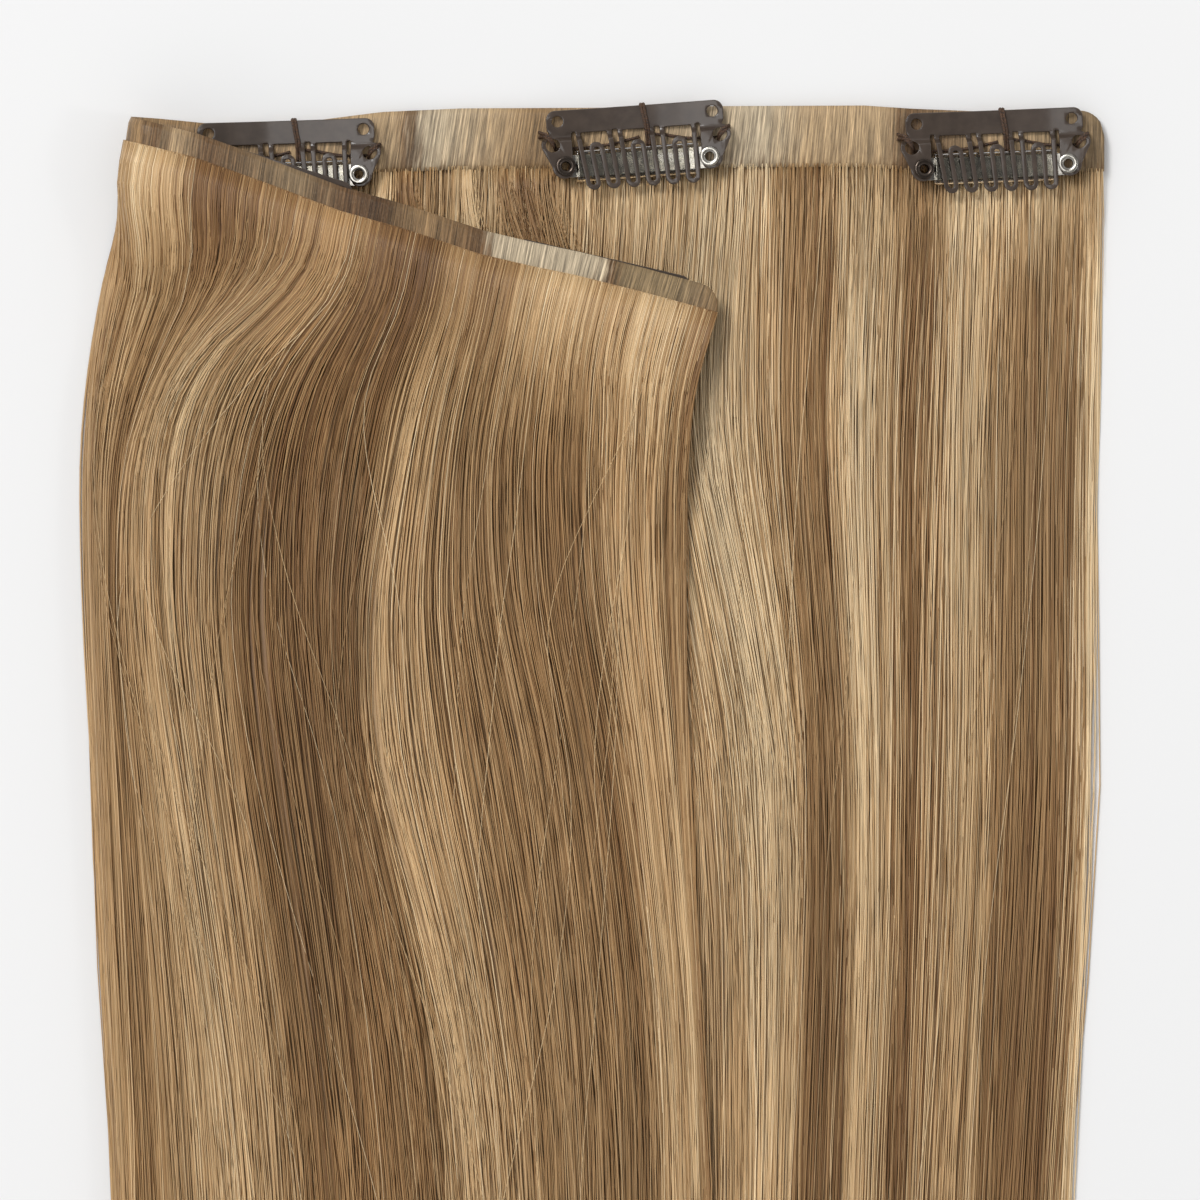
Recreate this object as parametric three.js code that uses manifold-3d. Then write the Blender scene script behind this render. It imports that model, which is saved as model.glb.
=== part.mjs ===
// Clip in hair weft, lying flat and folded over once: one film band with five comb snap clips and
// a long fall of hair on each side of the fold. Millimetres, +X along the band, the hair falls
// towards -Y, +Z up from the surface that the weft lies on.

import * as THREE from "three";
import { mergeVertices } from "three/addons/utils/BufferGeometryUtils.js";
import Module from "manifold-3d";

const wasm = await Module();
wasm.setup();

// Space left between pieces that touch on the real object
const clearance = 0.3;

// Film band, a single strip that is folded over once
const bandLength = 276;
const bandWidth = 10.5;
const bandThickness = 0.8;
const bandCornerRadius = 4.3;
const bandSway = 2.2;
const foldedLength = 113.5;
const foldAngle = THREE.MathUtils.degToRad(81.35);
const foldedEndDrop = 3;
const foldedLevelRun = 40;

// Hair
const hairLength = 406;
const filmBare = 4;
const hairRootBack = 1;
const hairRootFront = 1.2;
const backDepth = 3.2;
const frontDepth = 3.6;
const rimRun = 8;
const rimThickness = 0.6;
const settleRun = 45;
const seatOverlap = 1.2;
const seatRun = 2;
const valleyFullness = 0.72;
const tipRaggedness = 16;
const tipStep = 0.3;

// Comb plate of a snap clip
const clipLength = 32.4;
const barLength = 30.3;
const barHeight = 4;
const barCornerRadius = 1.6;
const plateThickness = 0.5;
const bowRise = 0.8;
const cornerHoleRadius = 0.95;
const cornerHoleInset = 1.9;
const earRadius = 1.95;
const earHoleRadius = 1.2;
const earDrop = 6;
const lobeRadius = 2.1;
const notchDepth = 0.4;
const earArc = { from: 52, to: -35 };
const lobeArc = { from: 0, to: -125 };
const strandCount = 12;
const strandPitch = 1.8;
const strandWidth = 0.85;
const groupStrands = 4;
const slotWidth = 0.65;
const combDrop = 14;
const combLean = { left: 1.5, right: 0.2 };
const windowHeight = 1.85;
const slotRise = 0.2;
const stepStart = 0.4;
const stepRun = 1.2;
const barOverhang = 0.2;

// Strap, sleeve and rivets of a snap clip
const rivetSpacing = 25;
const rivetDrop = 9.7;
const rivetHeadRadius = 1.7;
const rivetHeadThickness = 0.25;
const rivetShankRadius = 1;
const rivetBoreRadius = 0.72;
const rivetPlay = 0.2;
const strapWidth = 3.8;
const strapThickness = 0.4;
const sleeveWidth = 5.4;
const sleeveThickness = 1.5;
const sleeveWall = 0.28;

// Facets
const holeSides = 8;
const rivetSides = 10;
const foldSteps = 8;
const cornerSteps = 3;
const columnsPerLock = 4;
const columnsRoundFold = 8;
const sectionSpacing = 0.35;

// How far bent sheet reaches past the outline that is cut out of it
const sheetMargin = 1;

// The first share of the front fall's roots runs round the bend, between two distances from its
// start: so many fold radii along the bend, and so many past its end
const bendRoots = { share: 0.18, start: 1.1, past: 2 };

// Bow of a clip: how far it rises at a share of its half length
const bowSections = [
  { out: 0, rise: 0 },
  { out: 0.2, rise: 0 },
  { out: 0.55, rise: 0.25 },
  { out: 1, rise: 1 },
];

// Course of the band: share of its length from the folded end, and sideways share of bandSway
const bandCourse = [
  { along: 0, sway: 1.15 },
  { along: 0.05, sway: 0.9 },
  { along: 0.09, sway: 0.6 },
  { along: 0.12, sway: 0.22 },
  { along: 0.15, sway: -0.05 },
  { along: 0.2, sway: 0.05 },
  { along: 0.24, sway: -0.1 },
  { along: 0.29, sway: 0.27 },
  { along: 0.335, sway: 0.5 },
  { along: 0.38, sway: 0.2 },
  { along: 0.41, sway: 0 },
  { along: 0.44, sway: -0.37 },
  { along: 0.5, sway: -0.3 },
  { along: 0.55, sway: 0.5 },
  { along: 0.6, sway: 0.78 },
  { along: 0.68, sway: 0.82 },
  { along: 0.75, sway: 0.95 },
  { along: 0.85, sway: 1 },
  { along: 0.88, sway: 0.75 },
  { along: 0.935, sway: 0.48 },
  { along: 1, sway: 0.65 },
];

// Clips: tilt in degrees, and the place of the clip's middle as a share of the run from the bend to
// the band's open end, on the lower layer, or to its folded end, on the folded layer
const clipPlaces = [
  { name: "clip_1", folded: false, share: 0.883, tilt: 2.2 },
  { name: "clip_2", folded: false, share: 0.505, tilt: 4 },
  { name: "clip_3", folded: false, share: 0.139, tilt: 1.8 },
  { name: "clip_4", folded: true, share: 0.196, tilt: 0 },
  { name: "clip_5", folded: true, share: 0.79, tilt: -4.5 },
];

// Guide lines of the combed hair. level is a share of hairLength below the band's upper edge, and
// each line is a share of the seen run of the lower band, counted from the fold.
const backGuides = {
  roots: [0.031, 0.17, 0.328, 0.484, 0.601, 0.661, 0.807, 0.999],
  rows: [
    { level: 0.03, lines: [0.031, 0.17, 0.328, 0.484, 0.601, 0.661, 0.807, 0.999] },
    { level: 0.06, lines: [0.012, 0.166, 0.325, 0.48, 0.594, 0.658, 0.804, 0.998] },
    { level: 0.1, lines: [-0.005, 0.15, 0.318, 0.47, 0.585, 0.655, 0.798, 0.995] },
    { level: 0.14, lines: [-0.012, 0.135, 0.31, 0.462, 0.583, 0.656, 0.793, 0.993] },
    { level: 0.205, lines: [-0.01, 0.133, 0.308, 0.464, 0.623, 0.674, 0.791, 0.992] },
    { level: 0.27, lines: [-0.003, 0.144, 0.318, 0.48, 0.655, 0.69, 0.791, 0.993] },
    { level: 0.375, lines: [0.01, 0.166, 0.338, 0.498, 0.66, 0.69, 0.788, 0.98] },
    { level: 0.46, lines: [0.02, 0.18, 0.349, 0.505, 0.654, 0.68, 0.778, 0.963] },
    { level: 1, lines: [0.05, 0.205, 0.364, 0.503, 0.625, 0.66, 0.749, 0.913] },
  ],
};
const frontGuides = {
  roots: [0, 0.18, 0.35, 0.44, 0.48, 0.58, 0.7, 0.84, 1],
  rows: [
    { level: 0.03, lines: [-0.011, 0.113, 0.248, 0.314, 0.341, 0.41, 0.472, 0.538, 0.636] },
    { level: 0.06, lines: [-0.023, 0.085, 0.181, 0.248, 0.281, 0.357, 0.434, 0.516, 0.618] },
    { level: 0.1, lines: [-0.038, 0.033, 0.059, 0.162, 0.213, 0.295, 0.388, 0.485, 0.59] },
    { level: 0.14, lines: [-0.045, -0.005, 0.026, 0.127, 0.185, 0.275, 0.368, 0.473, 0.57] },
    { level: 0.205, lines: [-0.042, -0.012, 0.026, 0.111, 0.179, 0.245, 0.374, 0.481, 0.568] },
    { level: 0.27, lines: [-0.035, 0.003, 0.048, 0.128, 0.197, 0.248, 0.41, 0.511, 0.574] },
    { level: 0.375, lines: [-0.024, 0.021, 0.087, 0.167, 0.231, 0.322, 0.441, 0.546, 0.585] },
    { level: 0.46, lines: [-0.012, 0.033, 0.113, 0.187, 0.254, 0.349, 0.456, 0.554, 0.594] },
    { level: 1, lines: [0.02, 0.062, 0.138, 0.205, 0.272, 0.359, 0.462, 0.552, 0.585] },
  ],
};

// Rows of a fall as shares of the hair's length, and how full the hair is there
const fallRows = [0, 0.012, 0.03, 0.055, 0.09, 0.14, 0.2, 0.29, 0.4, 0.55, 0.75, 0.92, 1];
const fullness = [
  { level: 0, share: 0.3 },
  { level: 0.028, share: 0.3 },
  { level: 0.05, share: 0.55 },
  { level: 0.09, share: 0.88 },
  { level: 0.2, share: 1 },
  { level: 0.6, share: 0.85 },
  { level: 0.9, share: 0.5 },
  { level: 1, share: 0.15 },
];

// Heights of a clip's pieces above the face of the band that it is sewn to, and its comb's lines
const barBase = clearance;
const sleeveBase = clearance;
const strapBase = sleeveBase + (sleeveThickness - strapThickness) / 2;
const toothBase = sleeveBase + sleeveThickness + clearance;
const rivetBase = strapBase - rivetPlay - rivetHeadThickness;
const rivetTop = toothBase + plateThickness + rivetPlay + rivetHeadThickness;
const loopOuter = (strandPitch + strandWidth) / 2;
const loopInner = (strandPitch - strandWidth) / 2;
const footLine = -combDrop + loopOuter;
const crownLine = -barHeight - windowHeight - loopOuter;
const slotTop = slotRise - barHeight;
const clipStack = rivetTop + bowAt(rivetSpacing / 2 + rivetHeadRadius);

// Fold: the bend leaves room for two clips, face to face
const foldRadius = clipStack + (clearance + bandThickness) / 2;
const bandMiddle = hairRootBack + clearance + bandThickness / 2;
const bendRun = Math.PI * foldRadius;
const lowerRun = bandLength - foldedLength;
const foldedRun = foldedLength - bendRun;
const seenRun = lowerRun + foldRadius;
const foldLine = new THREE.Vector2(Math.cos(foldAngle), Math.sin(foldAngle));
const foldOut = new THREE.Vector2(-foldLine.y, foldLine.x);
const bandTop = bandWidth / 2;
const hairRootLine = bandTop - filmBare;
const filmCovered = bandWidth - filmBare;
const tipLine = bandTop - hairLength;

function clamp01(value) {
  return Math.min(1, Math.max(0, value));
}

function smooth(value) {
  const share = clamp01(value);
  return share * share * (3 - 2 * share);
}

function mix(a, b, share) {
  return a + (b - a) * share;
}

// Straight interpolation of a column in a table that rises along its key
function lookUp(table, key, at, read) {
  const last = table.length - 1;
  if (at <= table[0][key]) return read(table[0]);
  if (at >= table[last][key]) return read(table[last]);
  const next = table.findIndex((row) => row[key] >= at);
  const low = table[next - 1];
  const high = table[next];
  return mix(read(low), read(high), (at - low[key]) / (high[key] - low[key]));
}

function bowAt(x) {
  const out = Math.abs(x) / (clipLength / 2);
  return bowRise * lookUp(bowSections, "out", out, (row) => row.rise);
}

function bowSlope(x) {
  const reach = 0.5;
  return (bowAt(x + reach) - bowAt(x - reach)) / (2 * reach);
}

function bowLines() {
  const half = clipLength / 2;
  const right = bowSections.slice(1).map((row) => row.out * half);
  right[right.length - 1] = half + sheetMargin;
  return [...right.map((x) => -x).reverse(), ...right];
}

// Closed slab between a lower and an upper surface, each a grid of rows and columns
function slab(rowCount, columnCount, pointAt) {
  const positions = [];
  for (const side of [0, 1]) {
    for (let row = 0; row < rowCount; row += 1) {
      for (let column = 0; column < columnCount; column += 1) {
        positions.push(...pointAt(row, column, side).toArray());
      }
    }
  }
  const index = [];
  const at = (side, row, column) => (side * rowCount + row) * columnCount + column;
  const quad = (a, b, c, d) => index.push(a, b, c, a, c, d);
  for (let row = 0; row + 1 < rowCount; row += 1) {
    for (let column = 0; column + 1 < columnCount; column += 1) {
      const corners = [[row, column], [row + 1, column], [row + 1, column + 1], [row, column + 1]];
      quad(...corners.map(([r, c]) => at(1, r, c)));
      quad(...corners.map(([r, c]) => at(0, r, c)).reverse());
    }
    const end = columnCount - 1;
    quad(at(0, row, 0), at(0, row + 1, 0), at(1, row + 1, 0), at(1, row, 0));
    quad(at(1, row, end), at(1, row + 1, end), at(0, row + 1, end), at(0, row, end));
  }
  for (let column = 0; column + 1 < columnCount; column += 1) {
    const end = rowCount - 1;
    quad(at(0, 0, column), at(1, 0, column), at(1, 0, column + 1), at(0, 0, column + 1));
    quad(at(0, end, column + 1), at(1, end, column + 1), at(1, end, column), at(0, end, column));
  }
  const geometry = new THREE.BufferGeometry();
  geometry.setAttribute("position", new THREE.Float32BufferAttribute(positions, 3));
  geometry.setIndex(index);
  return geometry;
}

function solidOf(geometry) {
  const bare = geometry.clone();
  bare.deleteAttribute("normal");
  bare.deleteAttribute("uv");
  const merged = mergeVertices(bare, 1e-5);
  const vertProperties = new Float32Array(merged.attributes.position.array);
  const triVerts = new Uint32Array(merged.index.array);
  return new wasm.Manifold(new wasm.Mesh({ numProp: 3, vertProperties, triVerts }));
}

function geometryOf(solid) {
  const mesh = solid.getMesh();
  const geometry = new THREE.BufferGeometry();
  geometry.setAttribute("position", new THREE.BufferAttribute(mesh.vertProperties, 3));
  geometry.setIndex(new THREE.BufferAttribute(mesh.triVerts, 1));
  return geometry;
}

// Points along an arc, angles in degrees
function arc(x, y, radius, from, to, steps) {
  const points = [];
  for (let step = 0; step <= steps; step += 1) {
    const angle = THREE.MathUtils.degToRad(mix(from, to, step / steps));
    points.push(new THREE.Vector2(x + radius * Math.cos(angle), y + radius * Math.sin(angle)));
  }
  return points;
}

function roundHole(x, y, radius) {
  const flatsOut = radius / Math.cos(Math.PI / holeSides);
  return new THREE.Path(arc(x, y, flatsOut, 0, 360 - 360 / holeSides, holeSides - 1));
}

// A flat outline cut out of sheet that is bowed along the clip and stepped across it
function pressedSheet(shape, thickness, profile) {
  const lines = bowLines();
  const sheet = slab(profile.length, lines.length, (row, column, side) => {
    const { y, z } = profile[row];
    const x = lines[column];
    return new THREE.Vector3(x, y, z + bowAt(x) + side * thickness);
  });
  const tall = combDrop;
  const cutter = new THREE.ExtrudeGeometry(shape, { depth: 2 * tall, bevelEnabled: false });
  cutter.translate(0, 0, -tall);
  return geometryOf(solidOf(cutter).intersect(solidOf(sheet)));
}

// One side of the plate's outline, from the bar's upper corner round the ear to the slot
function plateSide() {
  const half = barLength / 2;
  const earX = clipLength / 2 - earRadius;
  const lobeX = rivetSpacing / 2;
  const inner = strandX(strandCount - 1) + strandWidth / 2 + slotWidth;
  return [
    ...arc(half - barCornerRadius, -barCornerRadius, barCornerRadius, 90, 0, cornerSteps),
    new THREE.Vector2(half, -earDrop + earRadius + 2 * notchDepth),
    new THREE.Vector2(half - notchDepth, -earDrop + earRadius),
    ...arc(earX, -earDrop, earRadius, earArc.from, earArc.to, 3),
    ...arc(lobeX, -rivetDrop, lobeRadius, lobeArc.from, lobeArc.to, 4),
    new THREE.Vector2(inner, -rivetDrop - lobeRadius / 2),
    new THREE.Vector2(inner, slotTop),
  ];
}

function strandX(strand) {
  return (strand - (strandCount - 1) / 2) * strandPitch;
}

// The comb's outer edge, from the right slot to the left one: each group of four strands makes
// two loops at the foot and one loop under the bar
function combEdge() {
  const half = strandWidth / 2;
  const points = [];
  for (let strand = strandCount - 1; strand > 0; strand -= groupStrands) {
    const right = strandX(strand);
    const left = strandX(strand + 1 - groupStrands);
    points.push(new THREE.Vector2(right + half, slotTop));
    points.push(...arc(right - strandPitch / 2, footLine, loopOuter, 0, -180, 4));
    points.push(...arc((left + right) / 2, crownLine, loopInner, 0, 180, 3));
    points.push(...arc(left + strandPitch / 2, footLine, loopOuter, 0, -180, 4));
    points.push(new THREE.Vector2(left - half, slotTop));
  }
  return points;
}

// The gap inside a group of four strands: a window under the bar and a finger in each foot loop
function combGap(firstStrand) {
  const half = strandWidth / 2;
  const left = strandX(firstStrand);
  const right = strandX(firstStrand + groupStrands - 1);
  const gap = [
    new THREE.Vector2(left + half, -barHeight),
    new THREE.Vector2(right - half, -barHeight),
    ...arc(right - strandPitch / 2, footLine, loopInner, 0, -180, 3),
    ...arc((left + right) / 2, crownLine, loopOuter, 0, 180, 4),
    ...arc(left + strandPitch / 2, footLine, loopInner, 0, -180, 3),
  ];
  return new THREE.Path(gap.reverse());
}

function combPlate() {
  const side = plateSide();
  const mirrored = side.map((point) => new THREE.Vector2(-point.x, point.y)).reverse();
  const shape = new THREE.Shape([...side, ...combEdge(), ...mirrored]);
  const cornerX = barLength / 2 - cornerHoleInset;
  const earX = clipLength / 2 - earRadius;
  for (const hand of [-1, 1]) {
    shape.holes.push(roundHole(hand * cornerX, -cornerHoleInset, cornerHoleRadius));
    shape.holes.push(roundHole(hand * earX, -earDrop, earHoleRadius));
    shape.holes.push(roundHole((hand * rivetSpacing) / 2, -rivetDrop, rivetShankRadius + rivetPlay));
  }
  for (let strand = 0; strand < strandCount; strand += groupStrands) {
    shape.holes.push(combGap(strand));
  }
  const stepTop = -barHeight - stepStart;
  const profile = [
    { y: sheetMargin, z: barBase },
    { y: stepTop, z: barBase },
    { y: stepTop - stepRun, z: toothBase },
    { y: -combDrop - sheetMargin, z: toothBase },
  ];
  return leaned(pressedSheet(shape, plateThickness, profile));
}

// The comb's strands lean to the right towards their feet, those on the left the most
function leaned(plate) {
  const place = plate.attributes.position;
  const edge = strandX(strandCount - 1) + strandWidth / 2 + slotWidth / 2;
  for (let i = 0; i < place.count; i += 1) {
    const x = place.getX(i);
    const depth = clamp01((-barHeight - place.getY(i)) / (combDrop - barHeight));
    const lean = mix(combLean.left, combLean.right, (x + edge) / (2 * edge));
    if (Math.abs(x) < edge) place.setX(i, x + lean * depth);
  }
  return plate;
}

function strapPlate() {
  const half = strapWidth / 2;
  const end = rivetSpacing / 2;
  const outline = [
    ...arc(end, -rivetDrop, half, 90, -90, 4),
    ...arc(-end, -rivetDrop, half, 270, 90, 4),
  ];
  const shape = new THREE.Shape(outline);
  for (const hand of [-1, 1]) {
    shape.holes.push(roundHole(hand * end, -rivetDrop, rivetShankRadius + rivetPlay));
  }
  const profile = [
    { y: -rivetDrop + half + sheetMargin, z: strapBase },
    { y: -rivetDrop - half - sheetMargin, z: strapBase },
  ];
  return pressedSheet(shape, strapThickness, profile);
}

// Flattened tube round the strap between the rivets
function siliconeSleeve() {
  const ring = (width, thickness) => {
    const radius = thickness / 2;
    const reach = width / 2 - radius;
    return [...arc(reach, 0, radius, 90, -90, 3), ...arc(-reach, 0, radius, 270, 90, 3)];
  };
  const shape = new THREE.Shape(ring(sleeveWidth, sleeveThickness));
  const wall = 2 * sleeveWall;
  shape.holes.push(new THREE.Path(ring(sleeveWidth - wall, sleeveThickness - wall).reverse()));
  const half = rivetSpacing / 2 - rivetHeadRadius - clearance;
  const lines = bowLines().map((x) => THREE.MathUtils.clamp(x, -half, half));
  const steps = lines.length - 1;
  const tube = new THREE.ExtrudeGeometry(shape, { depth: steps, steps, bevelEnabled: false });
  const place = tube.attributes.position;
  for (let i = 0; i < place.count; i += 1) {
    const x = lines[Math.round(place.getZ(i))];
    const y = place.getX(i) - rivetDrop;
    const z = place.getY(i) + sleeveBase + sleeveThickness / 2 + bowAt(x);
    place.setXYZ(i, x, y, z);
  }
  return tube;
}

// Tubular rivet with a flat head at each end
function rivet() {
  const height = rivetTop - rivetBase;
  const profile = [
    [rivetBoreRadius, 0],
    [rivetHeadRadius, 0],
    [rivetHeadRadius, rivetHeadThickness],
    [rivetShankRadius, rivetHeadThickness],
    [rivetShankRadius, height - rivetHeadThickness],
    [rivetHeadRadius, height - rivetHeadThickness],
    [rivetHeadRadius, height],
    [rivetBoreRadius, height],
    [rivetBoreRadius, 0],
  ].map(([radius, z]) => new THREE.Vector2(radius, z - height / 2));
  return new THREE.LatheGeometry(profile, rivetSides).rotateX(Math.PI / 2);
}

// Where a point of the flat band goes when it is folded. x is counted from the start of the bend,
// y from the middle of the band, and w is the height above the band's middle on the clips' side.
function folded(x, y, w) {
  const out = x * foldOut.x + y * foldOut.y;
  const up = x * foldLine.x + y * foldLine.y;
  if (out <= 0) return new THREE.Vector3(x, y, bandMiddle + w);
  const turn = Math.min(out / foldRadius, Math.PI);
  const inward = Math.max(0, out - bendRun);
  const reach = (foldRadius - w) * Math.sin(turn) - inward;
  const drop = foldedEndDrop * clamp01((inward - foldedLevelRun) / (foldedRun - foldedLevelRun));
  return new THREE.Vector3(
    foldLine.x * up + foldOut.x * reach,
    foldLine.y * up + foldOut.y * reach,
    bandMiddle + foldRadius - (foldRadius - w) * Math.cos(turn) - drop,
  );
}

function bandX(along) {
  return along * bandLength - foldedLength;
}

function alongOf(x) {
  return (x + foldedLength) / bandLength;
}

function bandSide(along) {
  return bandSway * lookUp(bandCourse, "along", along, (row) => row.sway);
}

// Shares of the band's length at which its course, its fold and its round ends need a section
function bandSections() {
  const places = bandCourse.map((row) => row.along * bandLength);
  for (let step = 0; step <= foldSteps; step += 1) {
    places.push(foldedRun + (bendRun * step) / foldSteps);
  }
  for (let step = 1; step <= cornerSteps; step += 1) {
    const angle = (Math.PI / 2) * (step / cornerSteps);
    const inset = bandCornerRadius * (1 - Math.cos(angle));
    places.push(inset, bandLength - inset);
  }
  places.push(foldedRun - foldedLevelRun);
  const sorted = places.sort((a, b) => a - b);
  const kept = sorted.filter((place, i) => i === 0 || place - sorted[i - 1] > sectionSpacing);
  return kept.map((place) => place / bandLength);
}

function filmBand() {
  const sections = bandSections();
  return slab(2, sections.length, (row, column, side) => {
    const along = sections[column];
    const fromEnd = Math.min(along, 1 - along) * bandLength;
    const missing = clamp01(1 - fromEnd / bandCornerRadius);
    const corner = bandCornerRadius * (1 - Math.sqrt(1 - missing * missing));
    const y = row === 0 ? bandTop - corner : -bandTop;
    const bendMiddle = (foldedRun + bendRun / 2) / bandLength;
    const reach = along < bendMiddle ? bendMiddle : 1 - bendMiddle;
    const slant = smooth(2 * (1 - Math.abs(along - bendMiddle) / reach));
    const x = bandX(along) + (slant * y) / Math.tan(foldAngle);
    return folded(x, y + bandSide(along), (side - 0.5) * bandThickness);
  });
}

// Share of the full depth of hair at a height below the band's upper edge
function fullnessAt(y) {
  const level = (bandTop - y) / hairLength;
  return lookUp(fullness, "level", level, (row) => row.share);
}

// The x of the hair that starts at a share of the root line, at height y
function combedX(guides, root, y) {
  const level = (bandTop - y) / hairLength;
  const next = Math.max(1, guides.roots.findIndex((at) => at >= root - 1e-9));
  const span = guides.roots[next] - guides.roots[next - 1];
  const share = (root - guides.roots[next - 1]) / span;
  const read = (row) => mix(row.lines[next - 1], row.lines[next], share);
  return lookUp(guides.rows, "level", level, read) * seenRun - foldRadius;
}

// Columns of a fall: each lock between two guide lines has a valley at its edges and a crest
function lockColumns(guides, firstLockColumns) {
  const columns = [];
  for (let lock = 0; lock + 1 < guides.roots.length; lock += 1) {
    const steps = lock === 0 ? firstLockColumns : columnsPerLock;
    for (let step = 0; step < steps; step += 1) {
      const share = step / steps;
      const root = mix(guides.roots[lock], guides.roots[lock + 1], share);
      columns.push({ root, crest: Math.sin(Math.PI * share), lock });
    }
  }
  columns.push({ root: guides.roots[guides.roots.length - 1], crest: 0, lock: 0 });
  return columns;
}

function lockFullness(column) {
  return mix(valleyFullness, 1, column.crest);
}

// Locks end in points of slightly different length
function lockTip(column, share) {
  const reach = 1 - tipStep * (column.lock % 3);
  return share * share * tipRaggedness * (1 - column.crest * reach);
}

function edgeRound(distance) {
  const missing = 1 - clamp01(distance / rimRun);
  return Math.sqrt(1 - missing * missing);
}

function backRim(y) {
  return combedX(backGuides, backGuides.roots[0], y);
}

// Top of the back fall between its rims, with its locks at full depth
function backSurface(y) {
  return Math.max(hairRootBack, backDepth * fullnessAt(y));
}

function backFall() {
  const columns = lockColumns(backGuides, columnsPerLock);
  return slab(fallRows.length, columns.length, (row, column, side) => {
    const { root } = columns[column];
    const along = alongOf(root * seenRun - foldRadius);
    const start = hairRootLine + bandSide(along);
    const share = fallRows[row];
    const y = mix(start, tipLine, share) + lockTip(columns[column], share);
    const x = combedX(backGuides, root, y);
    const right = combedX(backGuides, backGuides.roots[backGuides.roots.length - 1], y) - x;
    const rim = edgeRound(Math.min(x - backRim(y), right));
    const depth = backSurface(y) * lockFullness(columns[column]);
    const top = mix(rimThickness, depth, rim);
    return new THREE.Vector3(x, y, side * top);
  });
}

// Lower face of the front fall once it has settled: on the back fall, and down to the surface
// outside the back fall's rim
function frontSeat(x, y) {
  const inside = clamp01((x - backRim(y) + seatOverlap) / seatRun);
  return inside * (backSurface(y) + clearance);
}

// Where a root of the front fall is on the flat band
function frontRootX(root) {
  const { share, start, past } = bendRoots;
  const bendEnd = bendRun + past * foldRadius;
  if (root < share) return -mix(start * foldRadius, bendEnd, root / share);
  return -mix(bendEnd, foldedLength, (root - share) / (1 - share));
}

function frontFall() {
  const columns = lockColumns(frontGuides, columnsRoundFold);
  return slab(fallRows.length, columns.length, (row, column, side) => {
    const { root } = columns[column];
    const rootX = frontRootX(root);
    const rootY = hairRootLine + bandSide(alongOf(rootX));
    const share = fallRows[row];
    const fallen = share * hairLength;
    const under = -(bandThickness / 2 + clearance);
    const start = folded(rootX, rootY - Math.min(fallen, settleRun), under - side * hairRootFront);
    const rootPoint = folded(rootX, rootY, under);
    const y = mix(rootPoint.y, tipLine, share) + lockTip(columns[column], share);
    const x = combedX(frontGuides, root, y);
    const left = x - combedX(frontGuides, 0, y);
    const right = combedX(frontGuides, 1, y) - x;
    const seat = frontSeat(x, y);
    const full = frontDepth * fullnessAt(y) * lockFullness(columns[column]);
    const crown = backSurface(y) + clearance + full * edgeRound(right);
    const top = Math.max(seat + rimThickness, mix(rimThickness, crown, edgeRound(left)));
    const settled = new THREE.Vector3(x, y, side === 0 ? seat : top);
    return start.lerp(settled, smooth((fallen - filmCovered) / settleRun));
  });
}

const finishes = {
  film: { color: 0xb5a68c, roughness: 0.42, metalness: 0 },
  hair: { color: 0xc2a273, roughness: 0.48, metalness: 0 },
  paint: { color: 0x5c5048, roughness: 0.36, metalness: 0.4 },
  strap: { color: 0x8d8984, roughness: 0.3, metalness: 0.8 },
  silicone: { color: 0xcfcfca, roughness: 0.22, metalness: 0 },
  eyelet: { color: 0xbdb8b0, roughness: 0.24, metalness: 0.9 },
};

function piece(name, geometry, finish) {
  const mesh = new THREE.Mesh(geometry, new THREE.MeshStandardMaterial(finishes[finish]));
  mesh.name = name;
  return mesh;
}

const clipShapes = {
  plate: combPlate(),
  strap: strapPlate(),
  sleeve: siliconeSleeve(),
  rivet: rivet(),
};

// A clip in its own frame: x along the bar, y = 0 at the bar's upper edge, z = 0 on the band
function snapClip(name) {
  const clip = new THREE.Group();
  clip.add(piece(`${name}_comb_plate`, clipShapes.plate, "paint"));
  clip.add(piece(`${name}_strap`, clipShapes.strap, "strap"));
  clip.add(piece(`${name}_sleeve`, clipShapes.sleeve, "silicone"));
  for (const [side, hand] of [["left", -1], ["right", 1]]) {
    const x = (hand * rivetSpacing) / 2;
    const mesh = piece(`${name}_rivet_${side}`, clipShapes.rivet, "eyelet");
    mesh.position.set(x, -rivetDrop, (rivetBase + rivetTop) / 2 + bowAt(x));
    mesh.rotation.y = -Math.atan(bowSlope(x));
    clip.add(mesh);
  }
  return clip;
}

// Seats a clip on the band, whichever layer of the fold it is on
function seatClip(place) {
  const clip = snapClip(place.name);
  const x = place.folded ? -bendRun - place.share * foldedRun : place.share * lowerRun;
  const y = bandTop + barOverhang + bandSide(alongOf(x));
  const face = bandThickness / 2;
  const tilt = THREE.MathUtils.degToRad(place.tilt);
  const origin = folded(x, y, face);
  const along = folded(x + Math.cos(tilt), y + Math.sin(tilt), face).sub(origin).normalize();
  const across = folded(x - Math.sin(tilt), y + Math.cos(tilt), face).sub(origin);
  const up = along.clone().cross(across).normalize();
  const matrix = new THREE.Matrix4().makeBasis(along, up.clone().cross(along), up);
  clip.quaternion.setFromRotationMatrix(matrix);
  clip.position.copy(origin);
  return clip;
}

function hairWeft() {
  const weft = new THREE.Group();
  weft.add(piece("weft_band", filmBand(), "film"));
  weft.add(piece("hair_back_fall", backFall(), "hair"));
  weft.add(piece("hair_front_fall", frontFall(), "hair"));
  for (const place of clipPlaces) {
    weft.add(seatClip(place));
  }
  return weft;
}

// The origin is under the middle of the whole, on the surface that it lies on
function stood(model) {
  const box = new THREE.Box3().setFromObject(model, true);
  const middle = box.getCenter(new THREE.Vector3());
  model.position.set(-middle.x, -middle.y, -box.min.z);
  return new THREE.Group().add(model);
}

export default stood(hairWeft());
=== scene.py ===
import math

import bmesh
import bpy
import numpy as np
from mathutils import Matrix, Vector


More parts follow.
